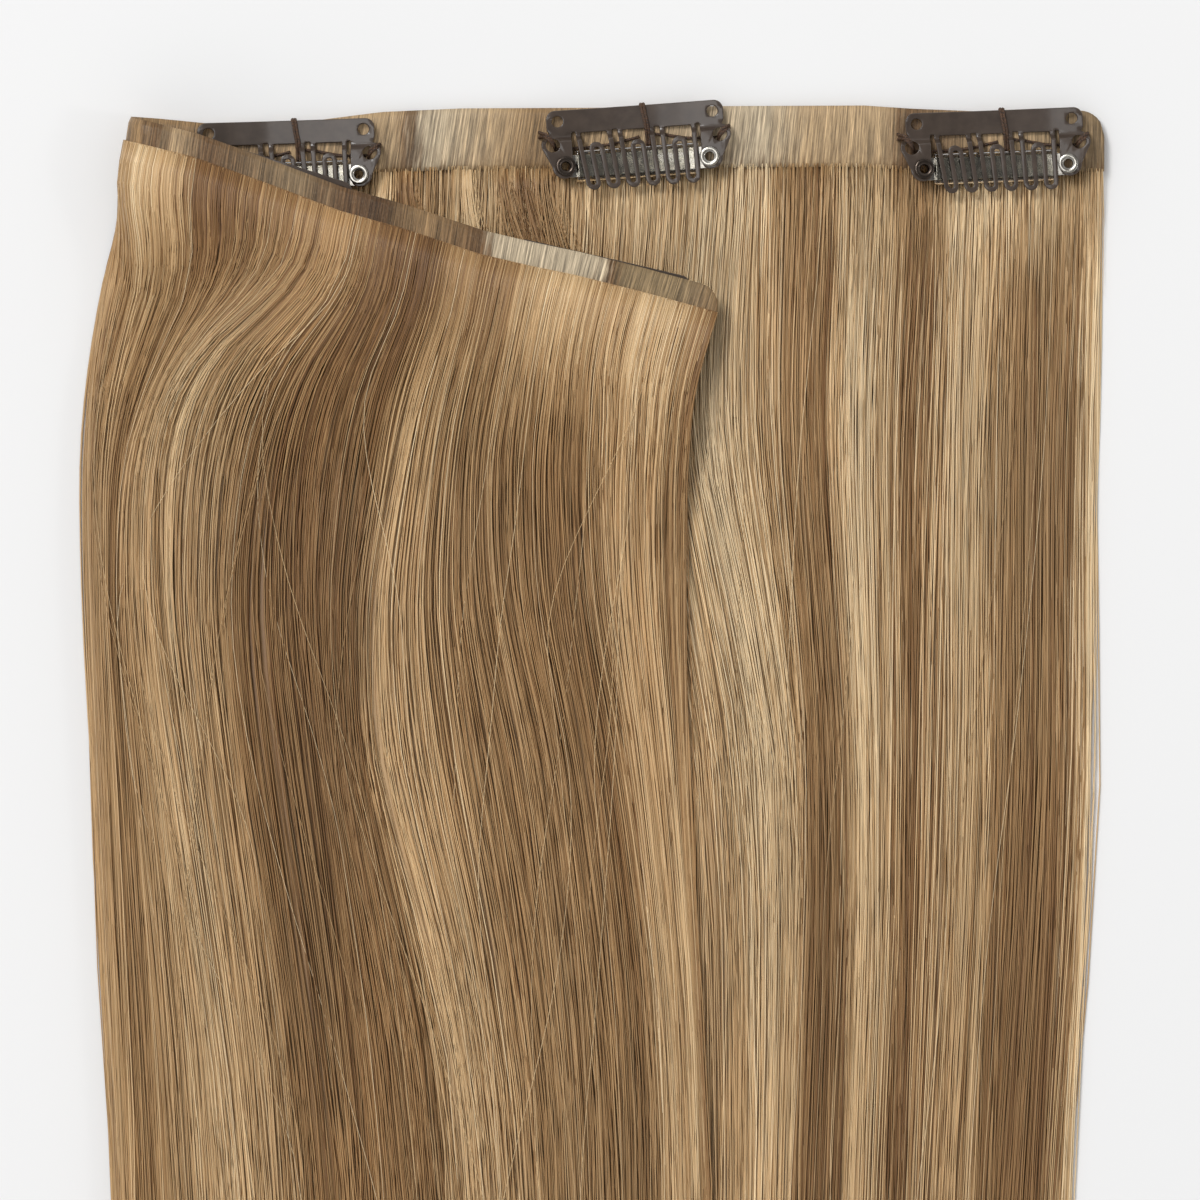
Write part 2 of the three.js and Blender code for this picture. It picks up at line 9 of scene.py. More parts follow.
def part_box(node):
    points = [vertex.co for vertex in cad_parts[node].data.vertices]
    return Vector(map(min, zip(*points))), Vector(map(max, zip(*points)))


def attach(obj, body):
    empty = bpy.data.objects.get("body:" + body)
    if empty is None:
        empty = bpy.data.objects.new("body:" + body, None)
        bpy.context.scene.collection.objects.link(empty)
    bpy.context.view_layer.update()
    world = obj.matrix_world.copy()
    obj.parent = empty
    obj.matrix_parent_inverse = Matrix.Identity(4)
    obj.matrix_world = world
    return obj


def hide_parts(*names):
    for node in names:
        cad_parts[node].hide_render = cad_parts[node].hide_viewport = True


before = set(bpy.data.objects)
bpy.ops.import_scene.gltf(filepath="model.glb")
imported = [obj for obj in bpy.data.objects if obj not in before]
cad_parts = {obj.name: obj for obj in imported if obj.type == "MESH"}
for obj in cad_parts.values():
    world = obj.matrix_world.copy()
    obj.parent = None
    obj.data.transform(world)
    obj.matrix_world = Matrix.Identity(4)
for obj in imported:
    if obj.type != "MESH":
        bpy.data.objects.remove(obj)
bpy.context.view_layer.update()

rng = np.random.default_rng(20)

MM = 0.001
PER_MM = (1000, 1000, 1000)

# Sizes of the weft in millimetres, the same as the solids have
CLEARANCE = 0.3
BAND_LENGTH = 276.0
BAND_WIDTH = 10.5
BAND_THICKNESS = 0.8
BAND_CORNER_RADIUS = 4.3
BAND_SWAY = 2.2
FOLDED_LENGTH = 113.5
FOLD_ANGLE = math.radians(81.35)
FOLDED_END_DROP = 3.0
FOLDED_LEVEL_RUN = 40.0
HAIR_LENGTH = 406.0
FILM_BARE = 4.0
HAIR_ROOT_BACK = 1.0
HAIR_ROOT_FRONT = 1.2
BACK_DEPTH = 3.2
FRONT_DEPTH = 3.6
RIM_RUN = 8.0
RIM_THICKNESS = 0.6
SETTLE_RUN = 45.0
TURN_RUN = 27.0
ROOT_RISE_RUN = 9.0
FILM_GAP = 0.03
LOCK_EDGE_FULLNESS = 0.72

CLIP_LENGTH = 32.4
BAR_LENGTH = 30.3
BAR_HEIGHT = 4.0
BAR_CORNER_RADIUS = 1.6
PLATE_THICKNESS = 0.5
BOW_RISE = 0.8
CORNER_HOLE_RADIUS = 0.95
CORNER_HOLE_INSET = 1.9
EAR_RADIUS = 1.95
EAR_HOLE_RADIUS = 1.2
EAR_DROP = 6.0
LOBE_RADIUS = 2.1
NOTCH_DEPTH = 0.4
STRAND_COUNT = 12
STRAND_PITCH = 1.8
STRAND_WIDTH = 0.85
SLOT_WIDTH = 0.65
COMB_DROP = 14.0
COMB_LEAN = (1.5, 0.2)
WINDOW_HEIGHT = 1.85
SLOT_RISE = 0.2
SLOT_ROUNDING = 0.2
WINDOW_ROUNDING = 0.3
STEP_START = 0.4
STEP_RUN = 1.2
BAR_OVERHANG = 0.2
RIVET_SPACING = 25.0
RIVET_DROP = 9.7
RIVET_HEAD_RADIUS = 1.7
RIVET_HEAD_THICKNESS = 0.25
RIVET_SHANK_RADIUS = 1.0
RIVET_BORE_RADIUS = 0.72
RIVET_PLAY = 0.2
STRAP_WIDTH = 3.8
STRAP_THICKNESS = 0.4
SLEEVE_WIDTH = 5.4
SLEEVE_THICKNESS = 1.5
SLEEVE_WALL = 0.28
THREAD_RADIUS = 0.27
THREAD_PLIES = 3
THREAD_TURN = 1.0

BOW_OUT = (0.0, 0.2, 0.55, 1.0)
BOW_SHARE = (0.0, 0.0, 0.25, 1.0)

# Course of the band: share of its length from the folded end, sideways share of BAND_SWAY
BAND_COURSE = (
    (0.000, 1.15), (0.050, 0.90), (0.090, 0.60), (0.120, 0.22), (0.150, -0.05), (0.200, 0.05),
    (0.240, -0.10), (0.290, 0.27), (0.335, 0.50), (0.380, 0.20), (0.410, 0.00), (0.440, -0.37),
    (0.500, -0.30), (0.550, 0.50), (0.600, 0.78), (0.680, 0.82), (0.750, 0.95), (0.850, 1.00),
    (0.880, 0.75), (0.935, 0.48), (1.000, 0.65),
)

# Clips: name, on the folded layer, share of the run from the bend, tilt in degrees
CLIP_PLACES = (
    ("clip_1", False, 0.883, 2.2),
    ("clip_2", False, 0.505, 4.0),
    ("clip_3", False, 0.139, 1.8),
    ("clip_4", True, 0.196, 0.0),
    ("clip_5", True, 0.790, -4.5),
)

# Guide lines of the combed hair: level below the band as a share of the hair's length, then each
# line as a share of the seen run of the lower band. Roots are shares of the line of roots.
BACK_GUIDES = {
    "roots": (0.031, 0.17, 0.328, 0.484, 0.601, 0.661, 0.807, 0.999),
    "rows": (
        (0.030, (0.031, 0.170, 0.328, 0.484, 0.601, 0.661, 0.807, 0.999)),
        (0.060, (0.012, 0.166, 0.325, 0.480, 0.594, 0.658, 0.804, 0.998)),
        (0.100, (-0.005, 0.150, 0.318, 0.470, 0.585, 0.655, 0.798, 0.995)),
        (0.140, (-0.012, 0.135, 0.310, 0.462, 0.583, 0.656, 0.793, 0.993)),
        (0.205, (-0.010, 0.133, 0.308, 0.464, 0.623, 0.674, 0.791, 0.992)),
        (0.270, (-0.003, 0.144, 0.318, 0.480, 0.655, 0.690, 0.791, 0.993)),
        (0.375, (0.010, 0.166, 0.338, 0.498, 0.660, 0.690, 0.788, 0.980)),
        (0.460, (0.020, 0.180, 0.349, 0.505, 0.654, 0.680, 0.778, 0.963)),
        (1.000, (0.050, 0.205, 0.364, 0.503, 0.625, 0.660, 0.749, 0.913)),
    ),
}
FRONT_GUIDES = {
    "roots": (0.0, 0.18, 0.35, 0.44, 0.48, 0.58, 0.7, 0.84, 1.0),
    "rows": (
        (0.030, (-0.011, 0.113, 0.248, 0.314, 0.341, 0.410, 0.472, 0.538, 0.636)),
        (0.060, (-0.023, 0.085, 0.181, 0.248, 0.281, 0.357, 0.434, 0.516, 0.618)),
        (0.100, (-0.038, 0.033, 0.059, 0.162, 0.213, 0.295, 0.388, 0.485, 0.590)),
        (0.140, (-0.045, -0.005, 0.026, 0.127, 0.185, 0.275, 0.368, 0.473, 0.570)),
        (0.205, (-0.042, -0.012, 0.026, 0.111, 0.179, 0.245, 0.374, 0.481, 0.568)),
        (0.270, (-0.035, 0.003, 0.048, 0.128, 0.197, 0.248, 0.410, 0.511, 0.574)),
        (0.375, (-0.024, 0.021, 0.087, 0.167, 0.231, 0.322, 0.441, 0.546, 0.585)),
        (0.460, (-0.012, 0.033, 0.113, 0.187, 0.254, 0.349, 0.456, 0.554, 0.594)),
        (1.000, (0.020, 0.062, 0.138, 0.205, 0.272, 0.359, 0.462, 0.552, 0.585)),
    ),
}
# How full a fall is at shares of the hair's length below the band's top
FULLNESS = (
    (0.0, 0.3), (0.0257, 0.38), (0.0275, 0.66), (0.05, 0.74), (0.09, 0.9), (0.2, 1.0), (0.6, 0.85),
    (0.9, 0.5), (1.0, 0.15),
)

# Tone of the hair from dark (0) to pale (1) at shares of the line of roots: that of the fall,
# and in the tables named ROOT that of the hair beside the film
# This table carries a painted highlight as well as the hair's tone: the pale band at roots 0.24 to
# 0.40 is partly the hair's pale tone and partly painted sheen where the hair bends.
FRONT_TONES_AND_PAINTED_HIGHLIGHT = (
    (0.00, 0.52), (0.08, 0.52), (0.14, 0.44), (0.19, 0.44), (0.24, 0.62), (0.36, 0.72),
    (0.40, 0.62), (0.43, 0.46), (0.46, 0.38), (0.52, 0.36), (0.545, 0.44), (0.565, 0.70),
    (0.625, 0.70), (0.645, 0.48), (0.66, 0.46), (0.71, 0.52), (0.74, 0.44), (0.80, 0.42),
    (0.83, 0.36), (0.85, 0.64), (0.92, 0.68), (0.96, 0.50), (1.00, 0.34),
)
# This table carries painted light as well as the hair's tone: the pale roots from 0.07 to 0.14 are
# partly the hair's tone and partly a painted highlight, and roots 0.14 to 0.6 are darkened as painted
# shade where the locks lie low.
FRONT_ROOT_TONES_AND_PAINTED_LIGHT = (
    (0.00, 0.46), (0.04, 0.46), (0.07, 0.74), (0.14, 0.66), (0.17, 0.22), (0.22, 0.14),
    (0.25, 0.30), (0.37, 0.34), (0.41, 0.50), (0.45, 0.46), (0.49, 0.18), (0.56, 0.22),
    (0.58, 0.42), (0.61, 0.52), (0.64, 0.34), (0.69, 0.48), (0.72, 0.72), (0.80, 0.74),
    (0.84, 0.48), (0.89, 0.76), (0.94, 0.68), (0.97, 0.42), (1.00, 0.24),
)
BACK_TONES = (
    (0.00, 0.55), (0.25, 0.62), (0.30, 0.42), (0.36, 0.66), (0.42, 0.50), (0.48, 0.74),
    (0.52, 0.62), (0.56, 0.94), (0.64, 1.00), (0.65, 0.92), (0.67, 0.54), (0.72, 0.50),
    (0.735, 0.88), (0.79, 0.90), (0.80, 0.42), (0.83, 0.42), (0.845, 0.88), (0.88, 0.88),
    (0.895, 0.60), (0.94, 0.52), (0.96, 0.36), (0.975, 0.44), (0.985, 0.90), (1.00, 0.94),
)
BACK_ROOT_TONES = (
    (0.00, 0.50), (0.28, 0.66), (0.31, 0.42), (0.34, 0.78), (0.38, 0.62), (0.41, 0.66),
    (0.43, 0.42), (0.455, 0.66), (0.50, 0.84), (0.55, 0.68), (0.60, 0.80), (0.64, 0.96),
    (0.655, 0.90), (0.67, 0.46), (0.71, 0.40), (0.725, 0.68), (0.78, 0.70), (0.79, 0.42),
    (0.825, 0.40), (0.845, 0.80), (0.90, 0.86), (0.95, 0.78), (1.00, 0.70),
)

# Screen colours of the tones
TONE_STOPS = (0.0, 0.25, 0.5, 0.7, 0.85, 1.0)
TONE_COLOURS = (
    (104, 73, 43), (140, 103, 63), (172, 137, 93), (202, 169, 124), (219, 190, 146), (237, 214, 175),
)

# Millimetres below the roots at which the tone of the fall takes over and at which it then fades,
# and how much it fades by
TONE_START = 5.0
TONE_RUN = 32.0
FADE_START = 80.0
FADE_RUN = 90.0
BACK_FADE = 0.16
FRONT_FADE = -0.05

# A strand's tone changes slowly down its length: step from strand to strand, and run in mm
STRAND_CHANGE = 7.3
STRAND_CHANGE_RUN = 26.0

# Shares of a strand's length at which it has a point, closer together where it bends
FRONT_SHARES = np.array((
    0, 0.009, 0.018, 0.028, 0.039, 0.05, 0.062, 0.074, 0.087, 0.1, 0.114, 0.128, 0.143, 0.159,
    0.177, 0.198, 0.225, 0.26, 0.31, 0.38, 0.48, 0.62, 0.8, 1.0,
))
BACK_SHARES = np.array((
    0, 0.015, 0.0185, 0.032, 0.05, 0.07, 0.095, 0.125, 0.16, 0.205, 0.27, 0.35, 0.47, 0.64,
    0.82, 1.0,
))

# Pieces of each fall, strands in a piece, and wisps that they gather in
BACK_STRANDS = (2, 1240, 110)
FRONT_STRANDS = (3, 1060, 90)
ROOT_HAIRS = 1150
CROSS_LOCK_HAIRS = 42
FRONT_FLYAWAYS = 26
BACK_FLYAWAYS = 10

# Waves of a wisp: how many there are down the hair, and how far they reach in mm
WISP_WAVES = ((1.1, 0.8), (2.3, 0.25))

# Locks of the lower fall that lie across it below the film: root, drift in mm, spread, tone
CROSS_LOCKS = (
    (0.385, 9.0, 0.006, 0.36), (0.405, 8.0, 0.007, 0.24), (0.425, 6.0, 0.006, 0.46),
    (0.345, 4.5, 0.005, 0.74), (0.262, -3.5, 0.006, 0.80), (0.285, 5.0, 0.006, 0.26),
)

# How dense the roots are along the line of roots
BACK_DENSITY = ((0.031, 0.35), (0.3, 0.5), (0.52, 1.0), (0.999, 1.15))
FRONT_DENSITY = ((0.0, 1.8), (0.18, 1.0), (0.5, 1.0), (1.0, 1.1))

# Screen colours of the film
FILM_COLOURS = {
    "pale": (188, 171, 144),
    "beige": (180, 153, 117),
    "tan": (144, 116, 82),
    "grey": (132, 111, 83),
    "olive": (140, 119, 88),
    "brown": (100, 74, 49),
    "dark": (80, 58, 38),
}

# Ground of the film: millimetres from the folded end and the colour that shows there. Noise
# shakes the borders between the colours by up to FILM_SHAKE in all.
FILM_SHAKE = 9.0
FILM_GROUND = (
    (0, "tan"), (5, "grey"), (8, "olive"), (16, "olive"), (19.5, "brown"), (21.5, "pale"),
    (39, "pale"), (41.5, "brown"), (52, "tan"), (59, "dark"), (66, "brown"), (75, "grey"),
    (91, "brown"), (96, "beige"), (99, "brown"), (104, "tan"), (121, "tan"), (154, "beige"),
    (157, "brown"), (160, "pale"), (172, "beige"), (178, "tan"), (196, "beige"), (217, "pale"),
    (225, "beige"), (238, "beige"), (242, "brown"), (262, "beige"), (272, "grey"),
)

# Heights of a clip's pieces over the face of the band
BAR_BASE = CLEARANCE
SLEEVE_BASE = CLEARANCE
STRAP_BASE = SLEEVE_BASE + (SLEEVE_THICKNESS - STRAP_THICKNESS) / 2
TOOTH_BASE = SLEEVE_BASE + SLEEVE_THICKNESS + CLEARANCE
RIVET_BASE = STRAP_BASE - RIVET_PLAY - RIVET_HEAD_THICKNESS
RIVET_TOP = TOOTH_BASE + PLATE_THICKNESS + RIVET_PLAY + RIVET_HEAD_THICKNESS


def bow_at(x):
    return BOW_RISE * np.interp(np.abs(x) / (CLIP_LENGTH / 2), BOW_OUT, BOW_SHARE)


CLIP_STACK = RIVET_TOP + float(bow_at(RIVET_SPACING / 2 + RIVET_HEAD_RADIUS))
FOLD_RADIUS = CLIP_STACK + (CLEARANCE + BAND_THICKNESS) / 2
BAND_MIDDLE = HAIR_ROOT_BACK + CLEARANCE + BAND_THICKNESS / 2
BEND_RUN = math.pi * FOLD_RADIUS
LOWER_RUN = BAND_LENGTH - FOLDED_LENGTH
FOLDED_RUN = FOLDED_LENGTH - BEND_RUN
SEEN_RUN = LOWER_RUN + FOLD_RADIUS
FOLD_LINE = (math.cos(FOLD_ANGLE), math.sin(FOLD_ANGLE))
FOLD_OUT = (-FOLD_LINE[1], FOLD_LINE[0])
BAND_TOP = BAND_WIDTH / 2
ROOT_LINE = BAND_TOP - FILM_BARE
FILM_COVERED = BAND_WIDTH - FILM_BARE
TIP_LINE = BAND_TOP - HAIR_LENGTH

# Where the band's own coordinates lie in the frame, in millimetres
band_low, band_high = (np.array(corner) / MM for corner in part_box("weft_band"))
SHIFT = np.array((
    band_high[0] - LOWER_RUN,
    band_high[1] - BAND_TOP - BAND_SWAY,
    band_low[2] - (BAND_MIDDLE - BAND_THICKNESS / 2),
))


def smooth(value):
    share = np.clip(value, 0, 1)
    return share * share * (3 - 2 * share)


def mix(a, b, share):
    return a + (b - a) * share


def read(table, place):
    """The value that a table of places and values has at a place."""
    places, values = zip(*table)
    return np.interp(place, places, values)


def folded(x, y, w):
    """Where a point of the flat band lies once it is folded: an array of x, y and z."""
    out = x * FOLD_OUT[0] + y * FOLD_OUT[1]
    up = x * FOLD_LINE[0] + y * FOLD_LINE[1]
    turn = np.clip(out / FOLD_RADIUS, 0, math.pi)
    inward = np.maximum(0, out - BEND_RUN)
    flat = out <= 0
    reach = np.where(flat, out, (FOLD_RADIUS - w) * np.sin(turn) - inward)
    rise = np.where(flat, w, FOLD_RADIUS - (FOLD_RADIUS - w) * np.cos(turn))
    slope = (inward - FOLDED_LEVEL_RUN) / (FOLDED_RUN - FOLDED_LEVEL_RUN)
    z = BAND_MIDDLE + rise - FOLDED_END_DROP * np.clip(slope, 0, 1)
    across = FOLD_LINE[0] * up + FOLD_OUT[0] * reach
    along = FOLD_LINE[1] * up + FOLD_OUT[1] * reach
    return np.stack((across, along, z), axis=-1)


def band_side(x):
    return BAND_SWAY * read(BAND_COURSE, (x + FOLDED_LENGTH) / BAND_LENGTH)


class Guides:
    """Guide lines of one fall, rounded where the rows of the table meet."""

    STEP = 0.0025
    ROUNDING = 37

    def __init__(self, table):
        self.roots = np.array(table["roots"])
        self.levels = np.arange(0, 1.1, self.STEP)
        row_levels = [row[0] for row in table["rows"]]
        lines = np.array([row[1] for row in table["rows"]]).T
        kernel = np.hanning(self.ROUNDING)
        kernel /= kernel.sum()
        pad = self.ROUNDING // 2
        self.curves = []
        for line in lines:
            curve = np.interp(self.levels, row_levels, line)
            padded = np.pad(curve, pad, mode="edge")
            self.curves.append(np.convolve(padded, kernel, mode="valid"))
        self.curves = np.array(self.curves)

    def x(self, root, y):
        """The x of the hair that starts at a root share, at height y."""
        root, y = np.broadcast_arrays(root, y)
        level = (BAND_TOP - y) / HAIR_LENGTH
        place = np.clip(level / self.STEP, 0, len(self.levels) - 2)
        low = place.astype(int)
        part = place - low
        right = np.clip(np.searchsorted(self.roots, root), 1, len(self.roots) - 1)
        ends = []
        for line in (right - 1, right):
            ends.append(mix(self.curves[line, low], self.curves[line, low + 1], part))
        span = self.roots[right] - self.roots[right - 1]
        share = (root - self.roots[right - 1]) / span
        return mix(ends[0], ends[1], share) * SEEN_RUN - FOLD_RADIUS

    def crest(self, root):
        """How near a root is to the middle of its lock, 0 at the edges and 1 in the middle."""
        right = np.clip(np.searchsorted(self.roots, root), 1, len(self.roots) - 1)
        span = self.roots[right] - self.roots[right - 1]
        share = np.clip((root - self.roots[right - 1]) / span, 0, 1)
        return np.sin(math.pi * share)


back_guides = Guides(BACK_GUIDES)
front_guides = Guides(FRONT_GUIDES)


def fullness_at(y):
    return read(FULLNESS, (BAND_TOP - y) / HAIR_LENGTH)


def edge_round(distance):
    missing = 1 - np.clip(distance / RIM_RUN, 0, 1)
    return np.sqrt(1 - missing * missing)


def back_rim(y):
    return back_guides.x(back_guides.roots[0], y)


def back_surface(y):
    return np.maximum(HAIR_ROOT_BACK, BACK_DEPTH * fullness_at(y))


def lock_fullness(guides, root):
    return mix(LOCK_EDGE_FULLNESS, 1, guides.crest(root))


def back_hair(root, share, height, aside=0.0, tip=0.0):
    """A point in the back fall: root and share of the length down, height from 0 to 1."""
    start = ROOT_LINE + band_side(root * SEEN_RUN - FOLD_RADIUS)
    y = mix(start, TIP_LINE + tip, share)
    x = back_guides.x(root, y) + aside
    right = back_guides.x(back_guides.roots[-1], y) - x
    rim = edge_round(np.minimum(x - back_rim(y), right))
    depth = back_surface(y) * lock_fullness(back_guides, root)
    top = mix(RIM_THICKNESS, depth, rim)
    return np.stack((x, y, height * top), axis=-1)


def front_seat(x, y):
    inside = np.clip((x - back_rim(y) + 1.2) / 2, 0, 1)
    return inside * (back_surface(y) + CLEARANCE)


def front_root_x(root):
    bend_share = 0.18
    bend_start = FOLD_RADIUS * 1.1
    bend_end = BEND_RUN + FOLD_RADIUS * 2
    first = mix(bend_start, bend_end, root / bend_share)
    rest = mix(bend_end, FOLDED_LENGTH, (root - bend_share) / (1 - bend_share))
    return -np.where(root < bend_share, first, rest)


def front_hair(root, share, height, aside=0.0, tip=0.0):
    """A point in the front fall: root and share of the length down, height from 0 to 1."""
    root_x = front_root_x(root)
    root_y = ROOT_LINE + band_side(root_x)
    fallen = share * HAIR_LENGTH
    run = np.minimum(fallen, SETTLE_RUN)
    depth = HAIR_ROOT_FRONT * mix(0.25, 0.8, smooth(run / ROOT_RISE_RUN))
    under = -(BAND_THICKNESS / 2 + FILM_GAP)
    start = folded(root_x, root_y - run, under - height * depth)
    root_point = folded(root_x, root_y, under)
    y = mix(root_point[..., 1], TIP_LINE + tip, share)
    x = front_guides.x(root, y) + aside
    left = x - front_guides.x(0.0, y)
    right = front_guides.x(1.0, y) - x
    seat = front_seat(x, y)
    full = FRONT_DEPTH * fullness_at(y) * lock_fullness(front_guides, root)
    crown = back_surface(y) + CLEARANCE + full * edge_round(right)
    top = np.maximum(seat + RIM_THICKNESS, mix(RIM_THICKNESS, crown, edge_round(left)))
    across = smooth(fallen / TURN_RUN)
    down = smooth((fallen - FILM_COVERED) / SETTLE_RUN)
    x = mix(start[..., 0], x, across)
    y = mix(start[..., 1], y, across)
    z = mix(start[..., 2], mix(seat, top, height), down)
    return np.stack((x, y, z), axis=-1)


def linear(colour):
    """Linear light from an 8-bit screen colour."""
    share = np.asarray(colour, dtype=float) / 255
    return np.where(share <= 0.04045, share / 12.92, ((share + 0.055) / 1.055) ** 2.4)


def screen(colour):
    """Linear light as a tuple, which a colour socket takes."""
    return tuple(linear(colour))


def hair_colour(tone):
    stops = linear(TONE_COLOURS)
    return np.stack([np.interp(tone, TONE_STOPS, stops[:, i]) for i in range(3)], axis=-1)


class Nodes:
    """Builds a material's nodes."""

    def __init__(self, name):
        self.material = bpy.data.materials.new(name)
        self.material.use_nodes = True
        self.tree = self.material.node_tree
        self.shader = self.tree.nodes["Principled BSDF"]

    def add(self, kind, **settings):
        node = self.tree.nodes.new(kind)
        for key, value in settings.items():
            setattr(node, key, value)
        return node

    def feed(self, slot, source):
        """Sets a socket to a number or a colour, or links it to another socket."""
        if isinstance(source, (int, float)):
            slot.default_value = source
        elif isinstance(source, tuple):
            slot.default_value = (*source, 1.0)
        else:
            self.tree.links.new(source, slot)

    def set(self, **values):
        """Values of the shader's own sockets, which are named with lines for spaces."""
        for name, value in values.items():
            self.shader.inputs[name.replace("_", " ")].default_value = value

    def coordinates(self, kind, scale):
        """Object or UV coordinates stretched by a scale for each axis."""
        source = self.add("ShaderNodeTexCoord")
        mapping = self.add("ShaderNodeMapping")
        mapping.inputs["Scale"].default_value = scale
        self.feed(mapping.inputs["Vector"], source.outputs[kind])
        return mapping.outputs["Vector"]

    def noise(self, vector, scale, detail=2.0, roughness=0.5):
        node = self.add("ShaderNodeTexNoise")
        self.feed(node.inputs["Scale"], scale)
        self.feed(node.inputs["Detail"], detail)
        self.feed(node.inputs["Roughness"], roughness)
        self.feed(node.inputs["Vector"], vector)
        return node.outputs["Fac"]

    def ramp(self, factor, stops):
        """A ramp of grey levels in linear light, or of screen colours."""
        node = self.add("ShaderNodeValToRGB")
        elements = node.color_ramp.elements
        while len(elements) < len(stops):
            elements.new(0.5)
        for element, (place, colour) in zip(elements, stops):
            level = (colour,) * 3 if isinstance(colour, float) else screen(colour)
            element.position = place
            element.color = (*level, 1.0)
        self.feed(node.inputs["Fac"], factor)
        return node.outputs["Color"]

    def blend(self, mode, factor, a, b):
        node = self.add("ShaderNodeMix", data_type="RGBA", blend_type=mode)
        for name, source in (("Factor", factor), ("A", a), ("B", b)):
            slot = next(s for s in node.inputs if s.name == name and s.enabled)
            self.feed(slot, source)
        return next(s for s in node.outputs if s.enabled)

    def maths(self, operation, *sources):
        node = self.add("ShaderNodeMath", operation=operation)
        for slot, source in zip(node.inputs, sources):
            self.feed(slot, source)
        return node.outputs[0]

    def map_range(self, value, **limits):
        node = self.add("ShaderNodeMapRange")
        for name, limit in limits.items():
            self.feed(node.inputs[name.replace("_", " ")], limit)
        self.feed(node.inputs["Value"], value)
        return node.outputs["Result"]

    def surface(self, colour, rough, rough_low, rough_high):
        """The shader's colour, and a roughness that changes with a texture between two values."""
        self.feed(self.shader.inputs["Base Color"], colour)
        roughness = self.map_range(rough, To_Min=rough_low, To_Max=rough_high)
        self.feed(self.shader.inputs["Roughness"], roughness)

    def bump(self, height, strength, distance):
        node = self.add("ShaderNodeBump")
        self.feed(node.inputs["Strength"], strength)
        self.feed(node.inputs["Distance"], distance)
        self.feed(node.inputs["Height"], height)
        self.feed(self.shader.inputs["Normal"], node.outputs["Normal"])


def hair_material(name, painted_shade_factor):
    """Hair: each strand's own colour, which changes slowly down its length, partly as a real change of
    tone and partly as painted sheen, all darkened by a factor as painted shade.
    """
    nodes = Nodes(name)
    own = nodes.add("ShaderNodeAttribute", attribute_name="strand_colour")
    place = nodes.add("ShaderNodeAttribute", attribute_name="strand_place")
    lengthwise = nodes.noise(place.outputs["Vector"], 1.0)
    slow = nodes.noise(nodes.coordinates("Object", (60, 9, 30)), 1.0)
    # Painted sheen and shade: the lengthwise ramp lightens and darkens each strand along its length,
    # partly as random tone and partly as painted sheen, and the factor darkens it as painted shade.
    fine = nodes.ramp(lengthwise, ((0.3, painted_shade_factor * 0.84), (0.7, painted_shade_factor * 1.2)))
    broad = nodes.ramp(slow, ((0.32, 0.86), (0.68, 1.1)))
    colour = nodes.blend("MULTIPLY", 1.0, own.outputs["Color"], fine)
    colour = nodes.blend("MULTIPLY", 1.0, colour, broad)
    nodes.surface(colour, lengthwise, 0.32, 0.5)
    nodes.set(Specular_IOR_Level=0.42)
    return nodes.material


def film_ground(nodes, wide, along):
    """The ground colours of the film, whose borders a broad noise shakes."""
    shaken = nodes.maths("MULTIPLY_ADD", wide, FILM_SHAKE, along)
    middle = FILM_SHAKE / 2
    share = nodes.map_range(shaken, From_Min=middle, From_Max=middle + BAND_LENGTH)
    return nodes.ramp(share, [(x / BAND_LENGTH, FILM_COLOURS[name]) for x, name in FILM_GROUND])


def film_material():
    """Clear film with hair set in it: upright streaks over a ground that changes along the band."""
    nodes = Nodes("film")

    def streaks(along, across, detail, roughness):
        return nodes.noise(nodes.coordinates("UV", (along, across, 1)), 1.0, detail, roughness)

    fine = streaks(3.0, 0.08, 4.0, 0.75)
    wide = streaks(0.9, 0.1, 3.0, 0.6)
    hairs = streaks(7.0, 0.15, 2.0, 0.6)
    smudges = streaks(1.9, 0.12, 4.0, 0.7)
    speckle = streaks(3.4, 1.7, 3.0, 0.6)
    place = nodes.add("ShaderNodeSeparateXYZ")
    nodes.feed(place.inputs["Vector"], nodes.coordinates("UV", (1, 1, 1)))
    colour = film_ground(nodes, wide, place.outputs["X"])
    for pattern, stops in (
        (fine, ((0.40, 0.48), (0.48, 0.84), (0.53, 0.98), (0.61, 1.42))),
        (wide, ((0.34, 0.82), (0.66, 1.14))),
        (hairs, ((0.36, 0.72), (0.5, 1.0), (0.64, 1.22))),
    ):
        colour = nodes.blend("MULTIPLY", 1.0, colour, nodes.ramp(pattern, stops))
    low_edge = nodes.map_range(place.outputs["Y"], From_Min=BAND_WIDTH * 0.55, From_Max=BAND_WIDTH)
    dashes = nodes.ramp(smudges, ((0.46, 0.0), (0.6, 0.85)))
    smudge = nodes.maths("MULTIPLY", low_edge, dashes)
    colour = nodes.blend("MIX", smudge, colour, screen(FILM_COLOURS["brown"]))
    haze = nodes.ramp(speckle, ((0.50, 0.0), (0.72, 0.10)))
    colour = nodes.blend("MIX", haze, colour, screen(FILM_COLOURS["pale"]))
    nodes.surface(colour, speckle, 0.28, 0.5)
    nodes.set(Specular_IOR_Level=0.18, Coat_Weight=0.04, Coat_Roughness=0.3)
    nodes.bump(nodes.maths("ADD", fine, speckle), 0.5, 0.00012)
    return nodes.material


def paint_material():
    """Taupe brown enamel, a little uneven in colour and gloss."""
    nodes = Nodes("clip_paint")
    vector = nodes.coordinates("Object", PER_MM)
    cloud = nodes.noise(vector, 0.35, 4.0, 0.6)
    grain = nodes.noise(vector, 6.0, 3.0, 0.7)
    nodes.surface(nodes.ramp(cloud, ((0.35, (58, 48, 41)), (0.65, (70, 59, 51)))), grain, 0.26, 0.42)
    nodes.set(Metallic=0.0, Specular_IOR_Level=0.25, Coat_Weight=0.4, Coat_Roughness=0.1)
    nodes.bump(grain, 0.12, 0.00002)
    return nodes.material


